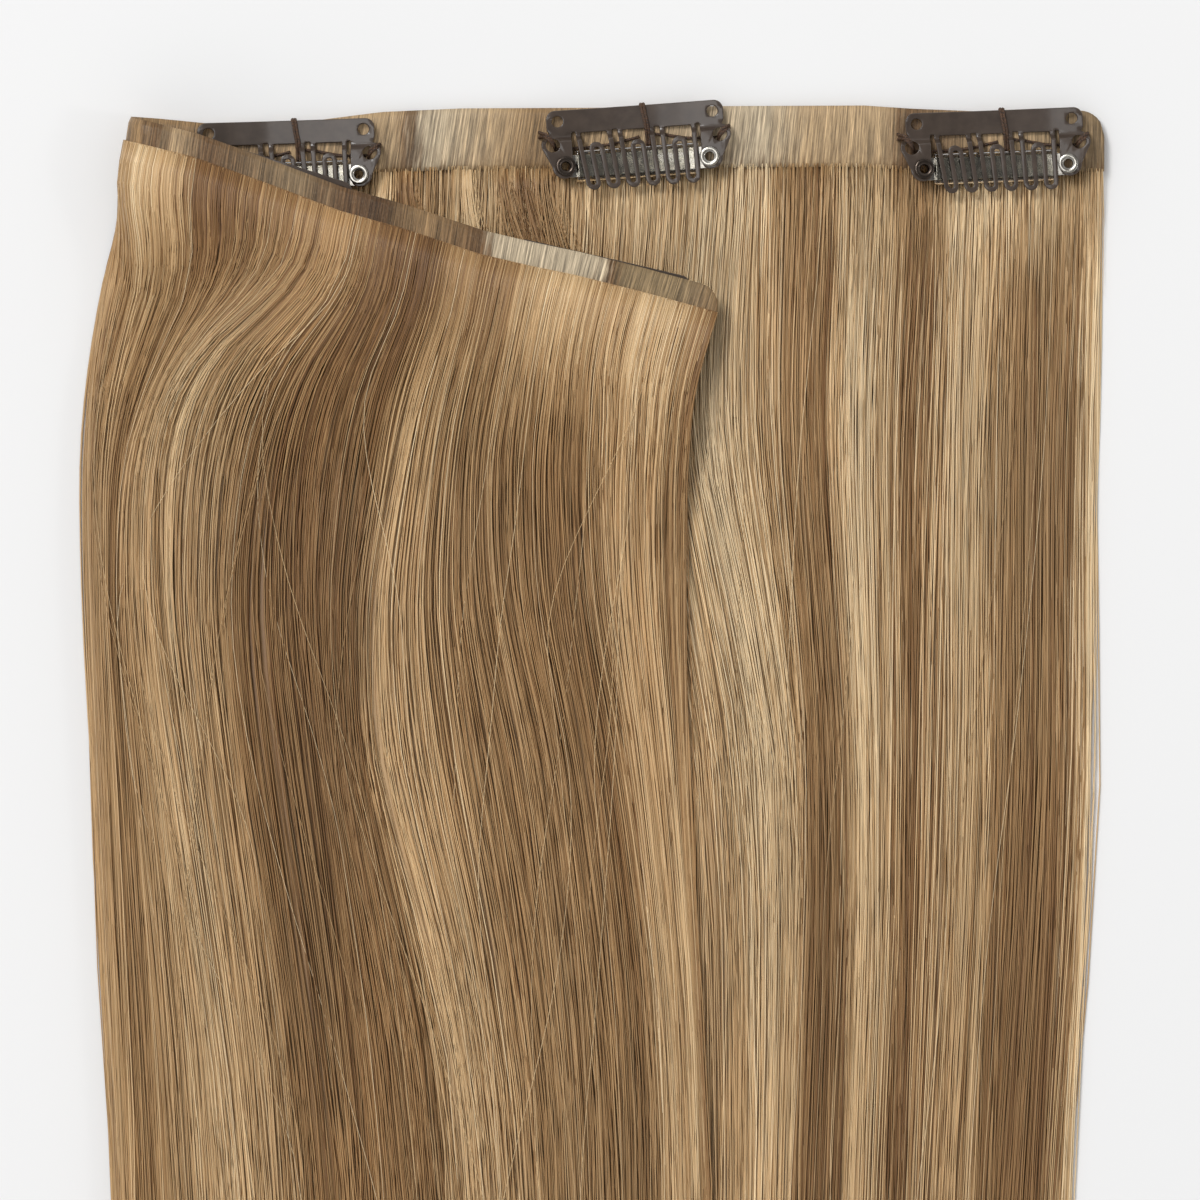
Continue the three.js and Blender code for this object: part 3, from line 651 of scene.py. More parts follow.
def metal_material(name, dark, light, rough_low, rough_high):
    """Bare metal with fine scratches and cloudy tarnish."""
    nodes = Nodes(name)
    cloud = nodes.noise(nodes.coordinates("Object", PER_MM), 0.8, 4.0, 0.6)
    scratch = nodes.noise(nodes.coordinates("Object", (900, 9000, 2000)), 1.0)
    nodes.surface(nodes.ramp(cloud, ((0.3, dark), (0.7, light))), scratch, rough_low, rough_high)
    nodes.set(Metallic=1.0)
    nodes.bump(scratch, 0.15, 0.00002)
    return nodes.material


def silicone_material():
    """Clear silicone tube, faintly milky."""
    nodes = Nodes("silicone")
    cloud = nodes.noise(nodes.coordinates("Object", PER_MM), 0.9, 3.0)
    colour = nodes.ramp(cloud, ((0.3, (226, 224, 216)), (0.7, (242, 241, 236))))
    nodes.surface(colour, cloud, 0.05, 0.12)
    nodes.set(Transmission_Weight=1.0, IOR=1.41)
    nodes.bump(cloud, 0.1, 0.00003)
    return nodes.material


def thread_material():
    nodes = Nodes("thread")
    fibres = nodes.noise(nodes.coordinates("Object", (4000, 4000, 4000)), 1.0, 3.0)
    colour = nodes.ramp(fibres, ((0.35, (30, 20, 14)), (0.65, (92, 64, 42))))
    nodes.surface(colour, fibres, 0.5, 0.7)
    nodes.bump(fibres, 0.5, 0.00005)
    return nodes.material


def floor_material():
    nodes = Nodes("floor")
    soft = nodes.noise(nodes.coordinates("Object", (3, 3, 3)), 1.0)
    colour = nodes.ramp(soft, ((0.3, 0.785), (0.7, 0.795)))
    nodes.feed(nodes.shader.inputs["Base Color"], colour)
    nodes.set(Roughness=0.9, Specular_IOR_Level=0.1)
    return nodes.material


def new_object(name, mesh, material):
    piece = bpy.data.objects.new(name, mesh)
    bpy.context.scene.collection.objects.link(piece)
    piece.data.materials.append(material)
    return piece


def keep(piece, slot, *nodes):
    """A piece of the object: it rides with the weft and takes the place of the solids named."""
    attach(piece, "root")
    if nodes:
        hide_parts(*nodes)
    return piece


NO_TRIANGLES = np.empty((0, 3), dtype=int)


def mesh_of(name, points, quads, triangles=NO_TRIANGLES, to_frame=True):
    """A smooth mesh from points in millimetres, an array of quads and one of triangles."""
    mesh = bpy.data.meshes.new(name)
    places = np.asarray(points, dtype=float).reshape(-1, 3)
    if to_frame:
        places = places + SHIFT
    corners = np.concatenate((quads.ravel(), triangles.ravel())).astype(np.int32)
    sizes = np.concatenate((np.full(len(quads), 4), np.full(len(triangles), 3)))
    starts = np.concatenate(((0,), np.cumsum(sizes)[:-1])).astype(np.int32)
    mesh.vertices.add(len(places))
    mesh.vertices.foreach_set("co", (places * MM).ravel())
    mesh.loops.add(len(corners))
    mesh.loops.foreach_set("vertex_index", corners)
    mesh.polygons.add(len(sizes))
    mesh.polygons.foreach_set("loop_start", starts)
    mesh.update(calc_edges=True)
    mesh.validate()
    mesh.polygons.foreach_set("use_smooth", np.ones(len(mesh.polygons), dtype=bool))
    return mesh


def quad_faces(a, b, c, d):
    """Quads from four arrays of point numbers, one for each corner."""
    return np.stack((a, b, c, d), axis=-1).reshape(-1, 4)


def set_strands(mesh, colours, places):
    """The colour of each point, and its strand's number and length down it for slow changes."""
    layer = mesh.color_attributes.new("strand_colour", "FLOAT_COLOR", "POINT")
    filled = np.concatenate((colours, np.ones((len(colours), 1))), axis=1)
    layer.data.foreach_set("color", filled.ravel())
    layer = mesh.attributes.new("strand_place", "FLOAT_VECTOR", "POINT")
    filled = np.concatenate((places, np.zeros((len(places), 1))), axis=1)
    layer.data.foreach_set("vector", filled.ravel())


def slab_quads(rows, columns):
    """Faces of a closed slab: points run over lower and upper side, then rows, then columns."""
    low, high = np.arange(2 * rows * columns).reshape(2, rows, columns)
    top = quad_faces(high[:-1, :-1], high[1:, :-1], high[1:, 1:], high[:-1, 1:])
    bottom = quad_faces(low[:-1, 1:], low[1:, 1:], low[1:, :-1], low[:-1, :-1])
    left = quad_faces(low[:-1, 0], low[1:, 0], high[1:, 0], high[:-1, 0])
    right = quad_faces(high[:-1, -1], high[1:, -1], low[1:, -1], low[:-1, -1])
    first = quad_faces(low[0, :-1], high[0, :-1], high[0, 1:], low[0, 1:])
    last = quad_faces(low[-1, 1:], high[-1, 1:], high[-1, :-1], low[-1, :-1])
    return np.concatenate((top, bottom, left, right, first, last))


def tubes(paths, radii, sides):
    """Points and faces of tubes: paths is an array of strands, points and x, y, z."""
    strands, count, _ = paths.shape
    tangent = np.gradient(paths, axis=1)
    tangent /= np.linalg.norm(tangent, axis=2, keepdims=True)
    side = np.cross(tangent, np.array((0.0, 0.0, 1.0)))
    side /= np.maximum(np.linalg.norm(side, axis=2, keepdims=True), 1e-9)
    up = np.cross(side, tangent)
    angles = math.pi / 2 + 2 * math.pi * np.arange(sides) / sides
    ring = np.cos(angles)[:, None] * side[:, :, None] + np.sin(angles)[:, None] * up[:, :, None]
    points = paths[:, :, None] + radii[:, :, None, None] * ring
    number = np.arange(strands * count * sides).reshape(strands, count, sides)
    here = number[:, :-1]
    after = number[:, 1:]
    nearby = np.roll(here, -1, axis=2)
    beyond = np.roll(after, -1, axis=2)
    return points, quad_faces(here, after, beyond, nearby), number


def strand_mesh(name, paths, radii, colours):
    """Three-sided tubes with closed ends, and a colour for each point of each path."""
    points, quads, number = tubes(paths, radii, 3)
    ends = np.concatenate((number[:, 0], number[:, -1, ::-1]))
    mesh = mesh_of(name, points, quads, ends)
    strand = np.broadcast_to(np.arange(len(paths))[:, None] * STRAND_CHANGE, radii.shape)
    length = (BAND_TOP - paths[:, :, 1]) / STRAND_CHANGE_RUN
    places = np.stack((strand, length), axis=-1).reshape(-1, 2)
    set_strands(mesh, np.repeat(colours.reshape(-1, 3), 3, axis=0), np.repeat(places, 3, axis=0))
    return mesh


def hair_piece(name, paths, radii, tone, material):
    """A piece of single hairs, with a tone for each point of each path."""
    mesh = strand_mesh(name, paths, radii, hair_colour(np.clip(tone, 0, 1)))
    keep(new_object(name, mesh, material), "hair")


def tone_along(tones, root, fallen):
    """Tone of the hair: that of its roots, then that of the fall, which fades lower down."""
    beside_film, in_fall, fade = tones
    change = smooth((fallen - TONE_START) / TONE_RUN)
    tone = mix(read(beside_film, root), read(in_fall, root), change)
    return tone - fade * smooth((fallen - FADE_START) / FADE_RUN)


def wisp_middles(wisps, root_density):
    """Roots of the wisps, closer together where the hair is denser."""
    roots, weights = zip(*root_density)
    grid = np.linspace(roots[0], roots[-1], 2000)
    density = np.cumsum(np.interp(grid, roots, weights))
    density /= density[-1]
    return np.interp((np.arange(wisps) + rng.uniform(0, 1, wisps)) / wisps, density, grid)


def strand_shares(points, count):
    """Shares of its length at which each strand has its points, a little off the given ones."""
    spread = np.gradient(points)[None, :] * rng.uniform(-0.3, 0.3, (count, 1))
    spread *= smooth(points / 0.05)
    spread[:, 0] = rng.uniform(0, 0.0009, count)
    spread[:, -1] = 0
    return points[None, :] + spread


def strand_sway(shares, wisp, wisps):
    """How far each strand swings aside in millimetres, with its wisp and by itself."""
    phases = rng.uniform(0, 2 * math.pi, (len(WISP_WAVES), wisps))
    sway = np.zeros(shares.shape)
    for phase, (waves, reach) in zip(phases, WISP_WAVES):
        angle = 2 * math.pi * waves * shares + phase[wisp][:, None]
        sway += reach * np.sin(angle) * smooth(shares / 0.15)
    loose = rng.uniform(0, 2 * math.pi, len(wisp))[:, None]
    stray = rng.uniform(0.05, 0.3, len(wisp))[:, None]
    return sway + stray * np.sin(2 * math.pi * 1.6 * shares + loose) * smooth(shares / 0.1)


def strand_heights(own, wisp, wisps):
    """How deep each strand lies, and its height as a share of the fall's, round over its wisp."""
    count = len(wisp)
    depth = 1 - 0.36 * rng.uniform(0, 1, count)
    height = depth * (0.9 + 0.14 * rng.uniform(0, 1, wisps)[wisp]) + 0.02 * rng.normal(0, 1, count)
    return depth, np.clip(height - 0.045 * own * own, 0.2, 1.08)[:, None]


def strand_tones(tones, root, shares, depth, wisp, wisps):
    """Tone of each strand: mingled with its neighbours', that of its wisp, and darkened as painted
    shade where it lies deep among the others.
    """
    count = len(wisp)
    mingled = root + rng.normal(0, 0.014, count)[:, None]
    tone = tone_along(tones, mingled, shares * HAIR_LENGTH)
    tone += rng.normal(0, 0.08, wisps)[wisp][:, None]
    tone += rng.normal(0, 0.08, count)[:, None] * mix(1.8, 1.0, smooth(shares / 0.15))
    # Painted shade: a strand that lies deeper is darker.
    return tone - 0.14 * (0.92 - depth)[:, None]


def grow_fall(place, points, tones, count, wisps, root_density):
    """Strands of one fall, gathered in wisps. Returns their paths, radii and tones."""
    first = root_density[0][0]
    last = root_density[-1][0]
    middles = wisp_middles(wisps, root_density)
    wisp = rng.integers(0, wisps, count)
    spacing = (last - first) / wisps
    shares = strand_shares(points, count)
    own = rng.normal(0, 1.0, count)
    gathered = mix(1.3, 0.8, smooth(shares / 0.5))
    root = middles[wisp][:, None] + own[:, None] * spacing * gathered
    root = first + np.abs(root - first)
    root = last - np.abs(last - root)
    sway = strand_sway(shares, wisp, wisps)
    depth, height = strand_heights(own, wisp, wisps)
    shortness = rng.uniform(0, 1, count) ** 3 * 60 + rng.uniform(0, 9, count)
    paths = place(root, shares, height, sway, shortness[:, None])
    width = rng.uniform(0.08, 0.16, count)[:, None]
    taper = np.interp(shares, (0, 0.5, 0.9, 1), (1, 1, 0.6, 0.15))
    return paths, width * taper, strand_tones(tones, root, shares, depth, wisp, wisps)


def fall_strands(name, place, points, tones, strands, root_density, material):
    """The loose strands of a fall, in pieces of an equal number of strands."""
    pieces, count, wisps = strands
    for piece in range(1, pieces + 1):
        growth = grow_fall(place, points, tones, count, wisps, root_density)
        hair_piece(f"{name}_{piece}", *growth, material)


def core(name, place, guides, tones, node, material):
    """The body of a fall under its loose strands, ridged like combed hair, and coloured darker than
    the strands as painted shade, darkest in the grooves.
    """
    rows = np.concatenate((np.linspace(0, 0.3, 24), np.linspace(0.34, 0.965, 8)))
    margin = 0.008
    columns = np.linspace(guides.roots[0] + margin, guides.roots[-1] - margin, 180)
    ridges_and_groove_shade = 0.06 * rng.normal(0, 1, len(columns))
    ridges_and_groove_shade += 0.04 * np.sin(columns * 97 + 1)
    root = np.broadcast_to(columns, (len(rows), len(columns)))
    share = np.broadcast_to(rows[:, None], root.shape)
    top = np.clip(0.64 + ridges_and_groove_shade, 0.5, 0.76)[None, :]
    slim = 1 - 0.75 * smooth((share - 0.7) / 0.265)
    short = 42 + 16 * np.sin(columns * 61) + 12 * np.sin(columns * 143 + 2)
    low = place(root, share, np.full(root.shape, 0.06), 0.0, short)
    high = place(root, share, top * slim, 0.0, short)
    points = np.stack((low, high))
    mesh = mesh_of(name, points, slab_quads(len(rows), len(columns)))
    # Painted shade: the core is a tenth of a tone darker than the strands over it, and darker still
    # where its ridges are low.
    tone = tone_along(tones, root, share * HAIR_LENGTH) - 0.1 + 0.5 * ridges_and_groove_shade[None, :]
    colours = hair_colour(np.clip(tone, 0, 1)).reshape(-1, 3)
    places = np.stack((root * 400, share * HAIR_LENGTH / STRAND_CHANGE_RUN), axis=-1)
    set_strands(mesh, np.tile(colours, (2, 1)), np.tile(places.reshape(-1, 2), (2, 1)))
    keep(new_object(name, mesh, material), "hair", node)


def root_hair(name, count, tones, material):
    """Short hairs that come out of the lower edge of the film and settle on the lower fall."""
    root = rng.uniform(back_guides.roots[0], back_guides.roots[-1], (count, 1))
    shares = np.linspace(0, 1, 6)[None, :]
    fallen = FILM_COVERED - 0.6 + shares * rng.uniform(9, 26, (count, 1))
    root = np.broadcast_to(root, fallen.shape)
    wander = rng.normal(0, 0.5, (count, 1)) * shares
    paths = back_hair(root, fallen / HAIR_LENGTH, np.full(root.shape, 1.03), wander, 0.0)
    film = BAND_MIDDLE + BAND_THICKNESS * rng.uniform(-0.1, 0.45, (count, 1))
    settled = smooth(shares / 0.7)
    paths[..., 2] = mix(np.maximum(film, paths[..., 2]), paths[..., 2], settled)
    radii = rng.uniform(0.06, 0.12, (count, 1)) * np.interp(shares, (0, 0.7, 1), (1, 1, 0.2))
    tone = tone_along(tones, root, fallen) + rng.normal(0.06, 0.12, (count, 1))
    hair_piece(name, paths, radii, tone, material)


def cross_locks(name, count, material):
    """Small locks that fan out below the film and cross the hair under them."""
    blocks = []
    tones = []
    for root, drift, spread, tone in CROSS_LOCKS:
        own = rng.normal(0, 1, (count, 1))
        shares = np.linspace(0, 1, 9)[None, :] * np.ones((count, 1))
        fallen = FILM_COVERED - 0.5 + shares * rng.uniform(26, 38, (count, 1))
        roots = root + spread * own * (1 + shares)
        aside = drift * smooth(shares) * (1 + 0.16 * own)
        height = 1.16 - 0.06 * own * own - 0.3 * smooth((shares - 0.6) / 0.4)
        paths = back_hair(roots, fallen / HAIR_LENGTH, height, aside, 0.0)
        settled = smooth(shares / 0.4)
        paths[..., 2] = mix(np.maximum(BAND_MIDDLE, paths[..., 2]), paths[..., 2], settled)
        blocks.append(paths)
        tones.append(tone + rng.normal(0, 0.09, (count, 1)) + 0.18 * shares)
    paths = np.concatenate(blocks)
    tone = np.concatenate(tones)
    radii = np.interp(np.linspace(0, 1, paths.shape[1]), (0, 0.7, 1), (0.1, 0.1, 0.02))
    hair_piece(name, paths, np.broadcast_to(radii, tone.shape), tone, material)


def flyaways(name, place, steps, roots, drift, count, material):
    """A few single hairs that lie across the fall and drift inward."""
    points = np.linspace(0, 1, steps)[None, :] * np.ones((count, 1))
    root = rng.uniform(roots[0], roots[1], (count, 1)) * np.ones(points.shape)
    begin = rng.uniform(0.02, 0.3, (count, 1))
    run = rng.uniform(0.2, 0.5, (count, 1))
    inward = np.where(root < rng.uniform(0.3, 0.7, (count, 1)), 1, -1)
    aside = inward * drift * rng.uniform(0.1, 1, (count, 1)) * smooth((points - begin) / run)
    length = rng.uniform(0.5, 1.0, (count, 1))
    paths = place(root, points * length, np.full(points.shape, 1.12), aside, 0.0)
    radii = 0.055 * np.interp(points, (0, 0.8, 1), (1, 1, 0.3))
    tone = rng.normal(0.85, 0.15, (count, 1)) * np.ones(points.shape)
    hair_piece(name, paths, radii, tone, material)


def make_hair():
    material = hair_material("hair", 1.0)
    # The core's material is darker than the strands' as painted shade.
    under = hair_material("hair_core_painted_shade", 0.94)
    back_tones = (BACK_ROOT_TONES, BACK_TONES, BACK_FADE)
    front_tones_and_painted_light = (FRONT_ROOT_TONES_AND_PAINTED_LIGHT, FRONT_TONES_AND_PAINTED_HIGHLIGHT, FRONT_FADE)
    core("hair_back_core", back_hair, back_guides, back_tones, "hair_back_fall", under)
    core("hair_front_core", front_hair, front_guides, front_tones_and_painted_light, "hair_front_fall", under)
    fall_strands("back_strands", back_hair, BACK_SHARES, back_tones, BACK_STRANDS, BACK_DENSITY,
                 material)
    fall_strands("front_strands", front_hair, FRONT_SHARES, front_tones_and_painted_light, FRONT_STRANDS,
                 FRONT_DENSITY, material)
    root_hair("back_root_hair", ROOT_HAIRS, back_tones, material)
    cross_locks("cross_locks", CROSS_LOCK_HAIRS, material)
    flyaways("front_flyaways", front_hair, 48, (0.02, 0.98), 26, FRONT_FLYAWAYS, material)
    flyaways("back_flyaways", back_hair, 32, (0.6, 0.98), 14, BACK_FLYAWAYS, material)


def make_band():
    """The film band, with rounded rims and hair set in it."""
    steps = 420
    sections = 11
    along = np.linspace(0, 1, steps)
    around = np.linspace(0, 1, sections)
    from_end = np.minimum(along, 1 - along) * BAND_LENGTH
    missing = np.clip(1 - from_end / BAND_CORNER_RADIUS, 0, 1)
    corner = BAND_CORNER_RADIUS * (1 - np.sqrt(1 - missing * missing))
    y_top = BAND_TOP - corner
    y = mix(y_top[None, :], -BAND_TOP, around[:, None])
    bend_middle = (FOLDED_RUN + BEND_RUN / 2) / BAND_LENGTH
    reach = np.where(along < bend_middle, bend_middle, 1 - bend_middle)
    slant = smooth(2 * (1 - np.abs(along - bend_middle) / reach))
    x = along * BAND_LENGTH - FOLDED_LENGTH
    x = x[None, :] + slant[None, :] * y / math.tan(FOLD_ANGLE)
    rim = np.minimum(around, 1 - around)
    thin = np.interp(rim, (0, 0.04, 0.1), (0.25, 0.8, 1.0))[:, None]
    half = BAND_THICKNESS / 2 * thin
    swayed = y + band_side(along * BAND_LENGTH - FOLDED_LENGTH)[None, :]
    points = np.stack((folded(x, swayed, -half), folded(x, swayed, half)))
    mesh = mesh_of("film_band", points, slab_quads(sections, steps))
    u = np.broadcast_to(along * BAND_LENGTH, (2, sections, steps)).ravel()
    v = np.broadcast_to((around * BAND_WIDTH)[None, :, None], (2, sections, steps)).ravel()
    layer = mesh.uv_layers.new(name="film")
    corners = np.empty(len(mesh.loops), dtype=np.int32)
    mesh.loops.foreach_get("vertex_index", corners)
    layer.data.foreach_set("uv", np.stack((u[corners], v[corners]), axis=-1).ravel())
    keep(new_object("film_band", mesh, film_material()), "film", "weft_band")


def arc(x, y, radius, start, end, steps):
    angles = np.radians(np.linspace(start, end, steps + 1))
    return [(x + radius * math.cos(a), y + radius * math.sin(a)) for a in angles]


def strand_x(strand):
    return (strand - (STRAND_COUNT - 1) / 2) * STRAND_PITCH


def plate_side():
    half = BAR_LENGTH / 2
    ear_x = CLIP_LENGTH / 2 - EAR_RADIUS
    inner = strand_x(STRAND_COUNT - 1) + STRAND_WIDTH / 2 + SLOT_WIDTH
    corner = BAR_CORNER_RADIUS
    return [
        *arc(half - corner, -corner, corner, 90, 0, 10),
        (half, -EAR_DROP + EAR_RADIUS + 2 * NOTCH_DEPTH),
        (half - NOTCH_DEPTH * 0.7, -EAR_DROP + EAR_RADIUS + NOTCH_DEPTH * 0.5),
        (half - NOTCH_DEPTH, -EAR_DROP + EAR_RADIUS),
        *arc(ear_x, -EAR_DROP, EAR_RADIUS, 52, -35, 12),
        *arc(RIVET_SPACING / 2, -RIVET_DROP, LOBE_RADIUS, 0, -125, 14),
        (inner, -RIVET_DROP - LOBE_RADIUS / 2),
        *arc(inner - SLOT_ROUNDING, SLOT_RISE - BAR_HEIGHT - SLOT_ROUNDING, SLOT_ROUNDING, 0, 90, 3),
    ]


def comb_loops():
    """The comb's outer edge from right to left, and its three inner gaps."""
    half = STRAND_WIDTH / 2
    outer = (STRAND_PITCH + STRAND_WIDTH) / 2
    inner = (STRAND_PITCH - STRAND_WIDTH) / 2
    foot = -COMB_DROP + outer
    crown = -BAR_HEIGHT - WINDOW_HEIGHT - outer
    slot_round = SLOT_ROUNDING
    slot = SLOT_RISE - BAR_HEIGHT - slot_round
    window_round = WINDOW_ROUNDING
    window = -BAR_HEIGHT - window_round
    edge = []
    gaps = []
    for strand in range(STRAND_COUNT - 1, 0, -4):
        right = strand_x(strand)
        left = strand_x(strand - 3)
        middle = (left + right) / 2
        edge += arc(right + half + slot_round, slot, slot_round, 90, 180, 3)
        edge += arc(right - STRAND_PITCH / 2, foot, outer, 0, -180, 14)
        edge += arc(middle, crown, inner, 0, 180, 8)
        edge += arc(left + STRAND_PITCH / 2, foot, outer, 0, -180, 14)
        edge += arc(left - half - slot_round, slot, slot_round, 0, 90, 3)
        gaps.append([
            *arc(left + half + window_round, window, window_round, 180, 90, 4),
            *arc(right - half - window_round, window, window_round, 90, 0, 4),
            *arc(right - STRAND_PITCH / 2, foot, inner, 0, -180, 8),
            *arc(middle, crown, outer, 0, 180, 14),
            *arc(left + STRAND_PITCH / 2, foot, inner, 0, -180, 8),
        ][::-1])
    return edge, gaps


def ring(x, y, radius):
    steps = 28
    return arc(x, y, radius, 0, 360 - 360 / steps, steps - 1)


def plate_outline():
    side = plate_side()
    mirrored = [(-x, y) for x, y in reversed(side)]
    edge, holes = comb_loops()
    corner_x = BAR_LENGTH / 2 - CORNER_HOLE_INSET
    ear_x = CLIP_LENGTH / 2 - EAR_RADIUS
    for hand in (-1, 1):
        holes.append(ring(hand * corner_x, -CORNER_HOLE_INSET, CORNER_HOLE_RADIUS))
        holes.append(ring(hand * ear_x, -EAR_DROP, EAR_HOLE_RADIUS))
        bore = RIVET_SHANK_RADIUS + RIVET_PLAY
        holes.append(ring(hand * RIVET_SPACING / 2, -RIVET_DROP, bore))
    return [side + edge + mirrored, *holes]


def pressed_sheet(name, outline, thickness, rounding, profile):
    """A flat outline with rounded edges, cut across where it bends, then bowed and stepped."""
    curve = bpy.data.curves.new(name, "CURVE")
    curve.dimensions = "2D"
    curve.fill_mode = "BOTH"
    curve.extrude = thickness / 2 - rounding
    curve.bevel_depth = rounding
    curve.bevel_resolution = 1
    curve.offset = -rounding
    for loop in outline:
        spline = curve.splines.new("POLY")
        spline.points.add(len(loop) - 1)
        spline.points.foreach_set("co", np.array([(x, y, 0, 1) for x, y in loop]).ravel())
        spline.use_cyclic_u = True
    holder = bpy.data.objects.new(name, curve)
    bpy.context.scene.collection.objects.link(holder)
    graph = bpy.context.evaluated_depsgraph_get()
    mesh = bpy.data.meshes.new_from_object(holder.evaluated_get(graph))
    bpy.data.objects.remove(holder)
    bm = bmesh.new()
    bm.from_mesh(mesh)
    bmesh.ops.remove_doubles(bm, verts=bm.verts, dist=1e-4)
    for x in np.arange(-16.0, 17.0):
        cut(bm, (x, 0, 0), (1, 0, 0))
    for y, _ in profile:
        cut(bm, (0, y, 0), (0, 1, 0))
    heights = sorted(profile)
    ys = [y for y, _ in heights]
    zs = [z for _, z in heights]
    for vertex in bm.verts:
        x, y, z = vertex.co
        vertex.co.z = z + thickness / 2 + np.interp(y, ys, zs) + bow_smooth(x)
    bm.to_mesh(mesh)
    bm.free()
    for polygon in mesh.polygons:
        polygon.use_smooth = True
    return mesh


def cut(bm, place, normal):
    everything = bm.verts[:] + bm.edges[:] + bm.faces[:]
    bmesh.ops.bisect_plane(bm, geom=everything, plane_co=place, plane_no=normal, dist=1e-5)


def bow_smooth(x):
    """The bow of a clip as one round sweep through the same heights."""
    reach = np.array((-0.9, -0.45, 0.0, 0.45, 0.9))
    return float(np.mean(bow_at(x + reach)))


def comb_plate_mesh():
    top = -BAR_HEIGHT - STEP_START
    profile = [(1.0, BAR_BASE), (top, BAR_BASE)]
    steps = 6
    for step in range(1, steps):
        share = step / steps
        profile.append((top - STEP_RUN * share, mix(BAR_BASE, TOOTH_BASE, float(smooth(share)))))
    profile += [(top - STEP_RUN, TOOTH_BASE), (-COMB_DROP - 1, TOOTH_BASE)]
    mesh = pressed_sheet("comb_plate", plate_outline(), PLATE_THICKNESS, 0.14, profile)
    edge = strand_x(STRAND_COUNT - 1) + STRAND_WIDTH / 2 + SLOT_WIDTH / 2
    for vertex in mesh.vertices:
        x, y, _ = vertex.co
        depth = min(1, max(0, (-BAR_HEIGHT - y) / (COMB_DROP - BAR_HEIGHT)))
        if abs(x) < edge:
            vertex.co.x = x + depth * mix(*COMB_LEAN, (x + edge) / (2 * edge))
    return mesh


def strap_mesh():
    half = STRAP_WIDTH / 2
    end = RIVET_SPACING / 2
    outline = arc(end, -RIVET_DROP, half, 90, -90, 16) + arc(-end, -RIVET_DROP, half, 270, 90, 16)
    holes = [ring(s * end, -RIVET_DROP, RIVET_SHANK_RADIUS + RIVET_PLAY) for s in (-1, 1)]
    profile = [(0.0, STRAP_BASE), (-2 * RIVET_DROP, STRAP_BASE)]
    return pressed_sheet("strap", [outline[::-1], *holes], STRAP_THICKNESS, 0.08, profile)


def lathe(name, profile, steps):
    """A closed profile of radius and height turned round the z axis."""
    count = len(profile)
    angles = 2 * math.pi * np.arange(steps) / steps
    radius = np.array([r for r, _ in profile])
    height = np.array([h for _, h in profile])
    points = np.stack((
        np.outer(np.cos(angles), radius),
        np.outer(np.sin(angles), radius),
        np.broadcast_to(height, (steps, count)),
    ), axis=-1)
    number = np.arange(steps * count).reshape(steps, count)
    after = np.roll(number, -1, axis=0)
    quads = quad_faces(number, after, np.roll(after, -1, axis=1), np.roll(number, -1, axis=1))
    return mesh_of(name, points, quads, to_frame=False)


def rivet_mesh():
    """Tubular rivet whose ends are curled over into round rims."""
    low = RIVET_BASE
    high = RIVET_TOP
    curl = RIVET_HEAD_THICKNESS
    middle = (RIVET_BORE_RADIUS + RIVET_HEAD_RADIUS) / 2 + 0.1
    profile = (
        (RIVET_BORE_RADIUS, low + 0.35), (RIVET_BORE_RADIUS + 0.05, low + 0.12),
        (middle - 0.2, low), (middle + 0.15, low), (RIVET_HEAD_RADIUS, low + curl / 2),
        (RIVET_HEAD_RADIUS - 0.05, low + curl), (RIVET_SHANK_RADIUS, low + curl),
        (RIVET_SHANK_RADIUS, high - curl), (RIVET_HEAD_RADIUS - 0.05, high - curl),
        (RIVET_HEAD_RADIUS, high - curl / 2), (RIVET_HEAD_RADIUS - 0.12, high - 0.04),
        (middle + 0.1, high), (middle - 0.12, high - 0.01),
        (RIVET_BORE_RADIUS + 0.12, high - 0.1), (RIVET_BORE_RADIUS, high - 0.35),
    )
    return lathe("rivet", profile, 40)


def sleeve_mesh():
    """Flattened silicone tube round the strap."""
    half = RIVET_SPACING / 2 - RIVET_HEAD_RADIUS - CLEARANCE
    stations = np.linspace(-half, half, 41)

    def oval(width, thickness):
        radius = thickness / 2
        reach = width / 2 - radius
        return arc(reach, 0, radius, 90, -90, 9) + arc(-reach, 0, radius, 270, 90, 9)

    wall = 2 * SLEEVE_WALL
    outer = np.array(oval(SLEEVE_WIDTH, SLEEVE_THICKNESS))
    inner = np.array(oval(SLEEVE_WIDTH - wall, SLEEVE_THICKNESS - wall))
    loops = []
    for section in (outer, inner):
        for x in stations:
            rise = SLEEVE_BASE + SLEEVE_THICKNESS / 2 + bow_smooth(x)
            loops.append(np.stack((
                np.full(len(section), x), section[:, 0] - RIVET_DROP, section[:, 1] + rise,
            ), axis=-1))
    points = np.array(loops).reshape(2, len(stations), len(outer), 3)
    out, inside = np.arange(points.size // 3).reshape(points.shape[:3])

    def wrap(grid):
        return np.roll(grid, -1, axis=-1)

    faces = np.concatenate((
        quad_faces(out[:-1], wrap(out[:-1]), wrap(out[1:]), out[1:]),
        quad_faces(inside[1:], wrap(inside[1:]), wrap(inside[:-1]), inside[:-1]),
        quad_faces(inside[0], wrap(inside[0]), wrap(out[0]), out[0]),
        quad_faces(out[-1], wrap(out[-1]), wrap(inside[-1]), inside[-1]),
    ))
    return mesh_of("sleeve", points, faces, to_frame=False)


